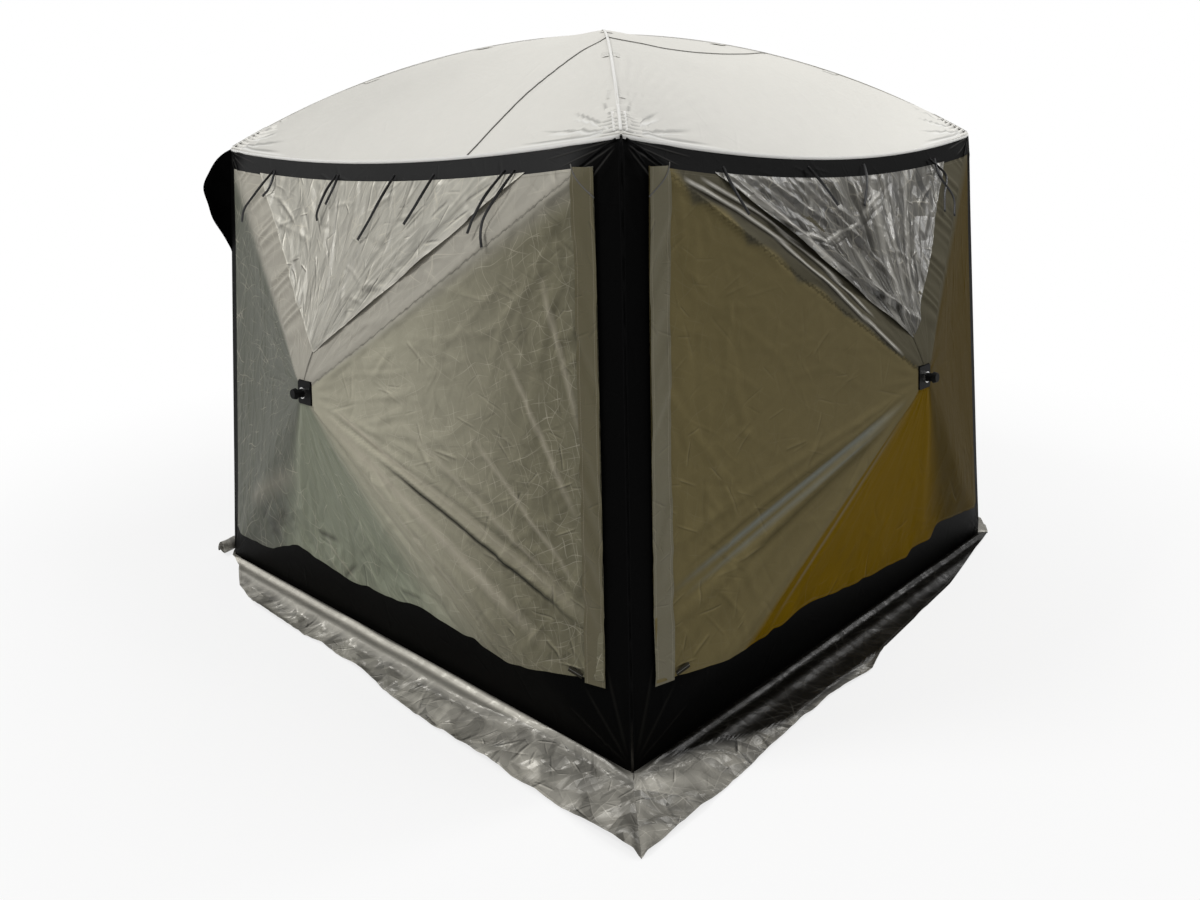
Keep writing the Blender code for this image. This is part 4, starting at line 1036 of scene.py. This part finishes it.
first = hole / eaveHalf
sLine = np.linspace(-1, 1, canopy["columns"])
sLine = np.sign(sLine) * np.abs(sLine) ** 0.8
shareLine = withLines(first + (1 - first) * np.linspace(0, 1, canopy["rows"]) ** 0.85, [canopy["ring"]])
for k, wall in enumerate(wallNames):
    for name, kept, size, inner in (("canopy_", shareLine >= canopy["ring"], (2.14, 1.03), False),
                                    ("canopy_crown_", shareLine <= canopy["ring"], (0.44, 0.24), True)):
        s, share = np.meshgrid(sLine, shareLine[kept][::-1])
        # painted shade: greyer towards the left end of the front gore
        paint = 1 - (0.15 if k == 0 else 0.02) * smoothStep((0.75 - s) / 1.6) * smoothStep((share - 0.15) / 0.6)
        built = [{"points": canopyPoint(share, s, k, canopy["lift"] + canopyLift(share, s, k)),
                  "flat": np.stack([s * share * 1.05, share * 1.12], -1), "edge": (1 - share) * 1.1 + 0.001,
                  "tint": np.repeat(paint[..., None], 3, -1)}]
        gore = sheetMesh(name + wall, built, surface=finishes["canopy"])
        sinkWith(gore, k, inner)
        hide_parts("roof_canopy")
        meshArea(built)
print("canopy hung")

# ground skirt: its width at places along each side, from the side's left end seen from outside
skirt = {"columns": 341, "rows": 29, "crumple": 0.014, "reach": 1.2, "inset": 0.004,
         "wide": (((-1.2, 0.012), (-1.0, 0.06), (-0.773, 0.15), (-0.568, 0.20), (-0.336, 0.205), (-0.132, 0.193), (0.043, 0.2),
                   (0.245, 0.23), (0.403, 0.245), (1.2, 0.25)),
                  ((-1.2, 0.25), (-0.9, 0.242), (-0.648, 0.224), (-0.37, 0.212), (-0.19, 0.235), (-0.05, 0.19), (0.18, 0.17),
                   (0.53, 0.14), (0.965, 0.075), (1.2, 0.035)),
                  ((-1.2, 0.035), (-0.95, 0.20), (-0.5, 0.25), (0.5, 0.24), (1.2, 0.25)),
                  ((-1.2, 0.25), (-0.3, 0.24), (0.5, 0.25), (0.95, 0.15), (1.2, 0.012)))}


def flipped(patch):
    # the same patch with its rows the other way round, for faces that look up
    return {key: grid[::-1] for key, grid in patch.items()}


def steepness(z, run, axis):
    # rise over run from row to row or column to column, at most 0.6
    return np.clip(np.gradient(z, axis=axis) / np.maximum(np.abs(np.gradient(run, axis=axis)), 1e-4), -0.6, 0.6)


patches = []
for k, knots in enumerate(skirt["wide"]):
    s, a = parameters(skirt["columns"], skirt["rows"], -1)
    wide = np.interp(s * skirt["reach"], *np.transpose(knots))
    # the mitre: at each end the outer edge runs out by its own width there
    reach = wide * a
    half = baseHalf - skirt["inset"] + reach
    x = s * half
    # crumpled film: flat triangles of three sizes, from beyond a smooth gutter, which runs out towards the front corner
    p, q = x * 0.8 + reach * 0.6, reach * 0.8 - x * 0.6
    crumple = 0.75 * facetNoise(p * 5.5, q * 8, 300 + k) + 0.50 * facetNoise(p * 11, q * 17, 320 + k)
    crumple = np.clip(crumple + 0.22 * facetNoise(q * 24, p * 34, 340 + k) + 0.5, 0, 2)
    start = 0.020 + (0.16 * smoothStep((s + 0.95) / 0.5) if k == 1 else 0.070 * smoothStep((0.75 - s) / 0.4))
    rough = smoothStep((reach - start) / 0.05)
    if k == 1:
        # quiet on the shaded side beyond its first part
        rough = rough * (1 - 0.8 * smoothStep((s + 0.2) / 0.4))
    inside = 1 - np.abs(s)
    calmer = smoothStep(inside / 0.02)
    gutter = 0.014 * bell((reach - 0.026) / 0.015) + 0.012 * bell((reach - 0.085) / 0.026) * (1 - rough)
    z = 0.0026 + gutter * smoothStep(inside / 0.10) + crumple * skirt["crumple"] * rough * (0.3 + 0.7 * calmer)
    z += 0.0045 * (softNoise(x * 5, reach * 7, 60 + k) + 1) * smoothStep(reach / 0.03) * calmer
    lumps = np.clip(softNoise(x * 7, np.zeros_like(x), 66 + k), 0, 1)
    z += 0.010 * smoothStep((reach - wide + 0.02) / 0.02) * lumps * calmer
    # painted light and shade: lighter along the front wall, a little darker round the front corner, and darker on the
    # other sides
    paint = 1.22 - 0.42 * smoothStep((s - 0.72) / 0.16) if k == 0 else np.full_like(s, 0.78)
    # painted shade of the crumples: lighter or darker by their slopes
    paint = paint * (1 + 0.8 * steepness(z, x, 1) - 0.8 * steepness(z, reach, 0))
    if k == 0:
        # the fold beside the gutter catches the light, a painted highlight
        paint = paint * (1 + 0.45 * bell((reach - 0.040) / 0.012) * smoothStep((0.85 - s) / 0.2))
    paint = np.repeat(paint[..., None], 3, -1)
    if k == 1:
        # the shaded side is painted brown-black as painted shade, and is smooth except for its crumpled first part
        dark = ((1 - rough * smoothStep((0.35 - s) / 0.5)) * smoothStep((s + 1.0) / 0.12))[..., None]
        paint = paint * (1 - dark) + toned((13, 11, 6), filmGrey) * dark
    patches.append(flipped({"points": np.stack([*quarterTurns(x, -half, k), z], -1), "flat": np.stack([x, reach + k], -1),
                            "edge": wide - reach + 0.001, "tint": paint,
                            "crush": np.stack([x, reach + k, 0.15 + 0.85 * rough], -1)}))
ring = sheetMesh("skirt_sheet", patches, thick=0.0010, surface=finishes["skirt"], weld=True)
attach(ring, "shell")
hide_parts("ground_skirt")
max(meshArea(patches), 0.31 * 2.9 * 2.9)
print("skirt laid")

# edging, seams, ridge tapes and corner pockets on the roof
roofTrim = {"tapeThick": 0.0016, "edgingHalf": 1.048, "edgingWide": 0.010, "edgingDrop": 0.0045, "edgingLift": 0.0022,
            "seamAt": 0.46, "seamWide": 0.005, "seamThick": 0.0014, "seamLift": 0.0032, "ridgeWide": 0.009, "ridgeLift": 0.0030,
            "patchShares": (0.30, 0.60, 0.83), "patchLong": 0.036, "patchAside": 0.008, "patchWide": 0.030,
            "pocketStart": 0.998, "pocketLong": 0.125, "pocketWide": 0.11, "pocketWave": 0.0185, "webWide": 0.008,
            # strips of webbing: aside from the ridge, share of the way out where they end, and lift
            "webStart": 0.994, "webbing": ((-0.021, 0.924, 0.0062), (0.0, 0.8995, 0.0052), (0.021, 0.924, 0.0062))}


def addStrap(name, patches, finish, rests, slotName="canopy_cloth", wall=None, gore=None, inner=False):
    # straps of one kind as one piece, with all their widths side by side and their mean length; placed like a wall's
    # cloth, like a gore's, or attached to the shell
    strips = "wide" in patches[0]
    piece = sheetMesh(name, patches, thick=0, surface=finishes[finish], weld=strips)
    if strips:
        area = sum(patch["wide"] * patch["long"] for patch in patches)
        wide = max(0.0102, sum(patch["wide"] for patch in patches))
        size = (wide, max(area / wide, sum(patch["long"] for patch in patches) / len(patches)))
    else:
        area = meshArea(patches)
        size = (area ** 0.5, area ** 0.5)
    if wall is not None:
        hang(piece, wall, layer=tent["late"] + panel["strapOver"])
    elif gore is not None:
        sinkWith(piece, gore, inner)
    else:
        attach(piece, "shell")
    min(area, size[0] * size[1])


def wallStrap(k, u, z, level, wide, thick):
    # a strap along (u, z), level over the wall, with its width upwards
    h = wallShape(u, z, k) + level
    path = onWall(k, u, h, z)
    return strapPatch(path, onWall(k, u, h, z + 0.01) - path, wide, thick)


def canopyAt(x, y, lift):
    # the gore that a plan point lies in, and its share found by four corrections
    points = np.zeros((len(x), 3))
    for k in range(4):
        across, down = quarterTurns(x, y, -k)
        out = -down
        share = np.clip(out / eaveHalf, 0.02, 1)
        for _ in range(4):
            s = np.clip(across / (share * eaveHalf), -1, 1)
            share = np.clip((out - tent["eavePush"] * (1 - s * s) * share ** 2) / eaveHalf, 0.02, 1)
        mine = (out > 0) & (np.abs(across) <= out + 1e-6)
        points[mine] = canopyPoint(share, s, k, lift + canopyLift(share, s, k))[mine]
    return points


for k, wall in enumerate(wallNames):
    u = np.linspace(-roofTrim["edgingHalf"], roofTrim["edgingHalf"], 90)
    edging = wallStrap(k, u, eaveTop(u, k) - roofTrim["edgingDrop"], roofTrim["edgingLift"], roofTrim["edgingWide"],
                       roofTrim["tapeThick"])
    addStrap("eave_edging_" + wall, [edging], "edging", ("trim_" + wall,))

# the seam across the roof crosses three gores
for k, low, high in ((0, -1.075, -0.46), (1, -0.46, 0.46), (2, 0.46, 1.075)):
    y = np.linspace(low, high, 44)
    path = canopyAt(np.full_like(y, roofTrim["seamAt"]), y, roofTrim["seamLift"])
    addStrap("roof_seam_" + wallNames[k], [strapPatch(path, [1.0, 0, 0], roofTrim["seamWide"], roofTrim["seamThick"])], "seam",
             ("canopy_" + wallNames[k],), gore=k)

for k, corner in enumerate(wallNames):
    patches, pockets, webbing = [], [], []
    turn = k * math.pi / 2 - math.pi / 4
    side = np.cross([math.cos(turn), math.sin(turn), 0], [0, 0, 1.0])
    ridge, crown = (strapPatch(canopyPoint(share, np.ones_like(share), k, roofTrim["ridgeLift"]), side,
                               roofTrim["ridgeWide"], roofTrim["tapeThick"])
                    for share in (np.linspace(canopy["ring"], 0.985, 62), np.linspace(0.05, canopy["ring"], 14)))
    addStrap("crown_tape_" + corner, [crown], "edging", ("canopy_crown_" + corner,), gore=k, inner=True)
    for gore, sign in ((k, 1), ((k + 1) % 4, -1)):
        # small reinforcing patches on both sides of the ridge, painted a little darker with the painted shade of their
        # wrinkles
        for at in roofTrim["patchShares"]:
            a, b = parameters(9, 9)
            share = at + roofTrim["patchLong"] * (1 - b)
            off = roofTrim["patchAside"] + roofTrim["patchWide"] * (a if sign < 0 else 1 - a)
            s = sign * (1 - off / (share * eaveHalf))
            lift = 0.0034 + 0.0010 * np.sin(b * 19 + a * 3) * (1 - np.abs(2 * a - 1))
            edge = 0.03 * np.minimum(np.minimum(a, 1 - a), np.minimum(b, 1 - b)) + 0.001
            patches.append(flipped({"points": canopyPoint(share, s, gore, lift), "flat": np.stack([a * 0.03, b * 0.04], -1),
                                    "edge": edge, "tint": np.full((9, 9, 3), 0.93)}))
        # puckered pocket at the corner: short waves across the ridge that die away from it, with painted shade in the
        # troughs of the waves
        a, b = parameters(41, 111)
        off, share = roofTrim["pocketWide"] * (a if sign < 0 else 1 - a), roofTrim["pocketStart"] - roofTrim["pocketLong"] * b
        s = sign * np.clip(1 - off / (share * eaveHalf), -1, 1)
        back = (roofTrim["pocketStart"] - share) * 1.5
        wave = 0.5 + 0.5 * np.sin(back * 2 * math.pi / roofTrim["pocketWave"] + 1.5 * np.sin(off * 40))
        fade = smoothStep(off / 0.012) * bell(off / 0.062) * smoothStep(back / 0.01)
        fade = fade * smoothStep((0.15 - back - off * 0.7) / 0.05)
        lift = 0.0030 + 0.0070 * wave * fade - 0.0026 * (smoothStep((off - 0.07) / 0.04) + smoothStep((b - 0.8) / 0.2))
        shade = 1.05 - 0.93 * (1 - wave) ** 2 * fade
        pockets.append(flipped({"points": canopyPoint(share, s, gore, lift), "flat": np.stack([off, back], -1),
                                "edge": np.full_like(off, 0.02), "tint": np.repeat(shade[..., None], 3, -1)}))
    # three strips of white webbing up the ridge from the corner
    for shift, upper, lift in roofTrim["webbing"]:
        share = np.linspace(roofTrim["webStart"], upper, 14)
        gore, sign = (k, 1) if shift <= 0 else ((k + 1) % 4, -1)
        path = canopyPoint(share, sign * (1 - abs(shift) / (share * eaveHalf)), gore, lift)
        webbing.append(strapPatch(path, side, roofTrim["webWide"], roofTrim["tapeThick"]))
    for name, built, finish in (("ridge_tape_", [ridge], "edging"), ("ridge_patches_", patches, "canopy"),
                                ("corner_pocket_", pockets, "canopy"), ("pocket_webbing_", webbing, "edging")):
        addStrap(name + corner, built, finish, ("canopy_" + corner,), gore=k)
print("roof trimmed")

# corner and gusset seams, tabs, panel piping, and ties that hang from the eave band: knots as (U, z, height over the flap)
small = {"tieWide": 0.0085, "tieThick": 0.0014, "seamWide": 0.007, "seamThick": 0.0022, "seamOut": 0.0020,
         "gusset": ((1.035, -0.010), (0.985, -0.042), (0.925, -0.088)), "gussetOut": 0.0030, "gussetWide": 0.005,
         "gussetThick": 0.0024, "piping": ((0.912, 1.682), (0.930, 1.655), (0.955, 1.628), (0.992, 1.598)), "pipingWide": 0.004,
         "tab": ((0.990, 0.276), (1.034, 0.262)), "tabWide": 0.018, "thick": 0.002,
         "ties": {"front": (((-0.630, 1.672, 0.004), (-0.655, 1.62, 0.020), (-0.73, 1.54, 0.016), (-0.795, 1.479, 0.012)),
                            ((-0.622, 1.672, 0.004), (-0.60, 1.61, 0.018), (-0.64, 1.575, 0.012)),
                            ((-0.191, 1.655, 0.004), (-0.205, 1.60, 0.022), (-0.225, 1.53, 0.022), (-0.22, 1.50, 0.016)),
                            ((-0.18, 1.655, 0.004), (-0.175, 1.60, 0.018), (-0.20, 1.555, 0.014)),
                            ((0.142, 1.654, 0.004), (0.125, 1.58, 0.022), (0.09, 1.51, 0.020), (0.050, 1.448, 0.014)),
                            ((0.343, 1.656, 0.004), (0.335, 1.60, 0.022), (0.305, 1.55, 0.020), (0.27, 1.505, 0.014)),
                            ((0.66, 1.668, 0.004), (0.63, 1.60, 0.022), (0.605, 1.54, 0.020), (0.595, 1.49, 0.016)),
                            ((0.70, 1.668, 0.004), (0.68, 1.61, 0.018), (0.645, 1.53, 0.016), (0.662, 1.455, 0.010))),
                  "right": (((-0.642, 1.665, 0.004), (-0.60, 1.60, 0.020), (-0.64, 1.52, 0.020), (-0.60, 1.45, 0.014)),
                            ((-0.60, 1.665, 0.004), (-0.655, 1.60, 0.018), (-0.585, 1.53, 0.018), (-0.54, 1.47, 0.014)),
                            ((0.685, 1.665, 0.004), (0.69, 1.60, 0.018), (0.66, 1.53, 0.014)),
                            ((0.25, 1.655, 0.004), (0.22, 1.60, 0.020), (0.16, 1.53, 0.014)),
                            ((-0.10, 1.655, 0.004), (-0.06, 1.60, 0.020), (0.0, 1.52, 0.014)))}}
small["ties"].update(back=small["ties"]["front"], left=small["ties"]["right"])
for k, wall in enumerate(wallNames):
    side = placketSide[k]
    straps = []
    for knots in small["ties"][wall]:
        U, z, over = spline(knots, 26).T
        u, h = U * side, wallShape(U * side, z, k) + flap["rise"] + over
        twist = -side * (1.45 - 1.05 * smoothStep(np.linspace(-0.15, 1.6, len(u))))
        path = onWall(k, u, h, z)
        across = onWall(k, u + 0.01 * np.cos(twist), h + 0.01 * np.sin(twist), z) - path
        straps.append(strapPatch(path, across, small["tieWide"], small["tieThick"]))
    addStrap("ties_" + wall, straps, "tie", ("trim_" + wall, "flap_cloth_" + wall), "black_cloth")

    # seam up the corner, and the gusset seams from the corner into the eave band
    z = np.linspace(0.01, wallLong - 0.002, 60)
    path = onWall(k, side * wallHalf(z), np.zeros_like(z), z)
    diagonal = np.array([*path[-1][:2], 0]) / np.linalg.norm(path[-1][:2])
    seams = [strapPatch(path + diagonal * small["seamOut"], np.cross(diagonal, [0, 0, 1.0]), small["seamWide"],
                        small["seamThick"])]
    for end in (-1, 1):
        u, z = spline([(end * x, wallLong + y) for x, y in small["gusset"]], 16).T
        seams.append(wallStrap(k, u, z, small["gussetOut"], small["gussetWide"], small["gussetThick"]))
    addStrap("corner_seams_" + wall, seams, "gusset", ("trim_" + wall,), "black_cloth")

    # dark piping that curves over the panel's upper corner, and the tab at its foot
    for kind, line, finish, under, slotName in (("piping", spline(small["piping"], 24), "seam", "placket_", "black_cloth"),
                                                ("tab", np.linspace(*small["tab"], 6), "tab", "panel_", "panel_cloth")):
        U, z = line.T
        strap = wallStrap(k, side * U, z, panel["strapOver"], small[kind + "Wide"], small["thick"])
        addStrap("panel_" + kind + "_" + wall, [strap], finish, (under + wall,), slotName, wall=k)
print("small straps sewn")

# rolled end of the skirt at the far corner of the front wall: a spiral whose radius grows evenly, slightly crumpled
roll = {"turns": 2.6, "inner": 0.010, "outer": 0.030, "long": 0.17, "wide": 0.36, "at": (-1.245, -1.235, 0.034)}
t, a = parameters(110, 30)
angle = t * roll["turns"] * 2 * math.pi
radius = roll["inner"] + (roll["outer"] - roll["inner"]) * t + 0.0025 * softNoise(angle * 1.1, a * 5, 77) * t
points = np.stack([radius * np.cos(angle) * 1.05 - 0.05 * a,
                   roll["long"] * a + 0.006 * softNoise(angle * 0.8, np.ones_like(a), 78),
                   radius * np.sin(angle) - 0.003 * a], -1) + roll["at"]
built = [{"points": points, "flat": np.stack([a * roll["long"], t * 0.4], -1), "edge": np.full_like(t, 0.02)}]
piece = sheetMesh("skirt_roll", built, thick=0.0010, surface=finishes["skirt"])
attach(piece, "shell")
min(meshArea(built), roll["long"] * roll["wide"])
print("skirt end rolled")

# floor, backdrop and light; the floor fades to plain white from 1.9 m out to 4.6 m. Each lamp: place, aim, size and power
stage = {"floor": 40.0, "under": 0.0005, "fadeFrom": 1.9, "fadeTo": 4.6, "grey": 0.90, "world": 0.36,
         "lamps": {"keyLight": ((-1.6, -3.8, 6.0), (0, 0, 0.9), 1.8, 185.0),
                   "topLight": ((2.4, 1.4, 6.3), (0, 0, 1.0), 3.0, 105.0),
                   "edgeLight": ((2.7, 4.2, 4.8), (0.6, 0, 0.9), 1.4, 90.0)}}


def makeStage(values):
    # pale floor that keeps the shadow, plain white behind it for the camera
    white = (1, 1, 1, 1)
    x, y = np.meshgrid((-values["floor"], values["floor"]), (-values["floor"], values["floor"]))
    corners = np.stack([x, y, np.full_like(x, -values["under"])], -1)
    material = bpy.data.materials.new("paleFloor")
    floor = sheetMesh("floor_plane", [{"points": corners, "flat": np.zeros((2, 2, 2))}], thick=0, surface=material)
    sheet = newSheet(material)
    path = sheet.add("ShaderNodeLightPath")
    seen = ((path("Is Camera Ray") + path("Is Glossy Ray")).least(1.0) + path("Is Transmission Ray")).least(1.0)
    away = sheet.vector("LENGTH", sheet.add("ShaderNodeTexCoord")("Object"), out="Value")
    fade = sheet.add("ShaderNodeMapRange", {"Value": away, "From Min": values["fadeFrom"], "From Max": values["fadeTo"],
                                            "To Min": 0.76, "To Max": 1.0}, interpolation_type="SMOOTHSTEP")()
    lit = sheet.add("ShaderNodeBsdfPrincipled", {"Base Color": (*[values["grey"]] * 3, 1), "Roughness": 0.9,
                                                 "Specular IOR Level": 0.1})()
    glow = sheet.add("ShaderNodeEmission", {"Color": white, "Strength": 1.0})()
    mixed = sheet.add("ShaderNodeMixShader", {0: seen * fade, 1: lit, 2: glow})()
    sheet.add("ShaderNodeOutputMaterial", {"Surface": mixed})
    scene.world = bpy.data.worlds.new("paleWorld")
    sheet = newSheet(scene.world)
    path = sheet.add("ShaderNodeLightPath")
    seen = (path("Is Camera Ray") + path("Is Transmission Ray")).least(1.0)
    around, behind = (sheet.add("ShaderNodeBackground", {"Color": white, "Strength": strength})()
                      for strength in (values["world"], 1.0))
    mixed = sheet.add("ShaderNodeMixShader", {0: seen, 1: around, 2: behind})()
    sheet.add("ShaderNodeOutputWorld", {"Surface": mixed})


def areaLight(name, place, aim, size, power):
    data = bpy.data.lights.new(name, "AREA")
    data.shape, data.size, data.energy = "DISK", size, power
    back = np.subtract(place, aim)
    back /= np.linalg.norm(back)
    right = np.cross([0, 0, 1], back)
    right /= np.linalg.norm(right)
    standAt(bpy.data.objects.new(name, data), right, np.cross(back, right), back, place)


makeStage(stage)
for name, values in stage["lamps"].items():
    areaLight(name, *values)
scene.view_settings.view_transform = "Standard"
print("stage lit")
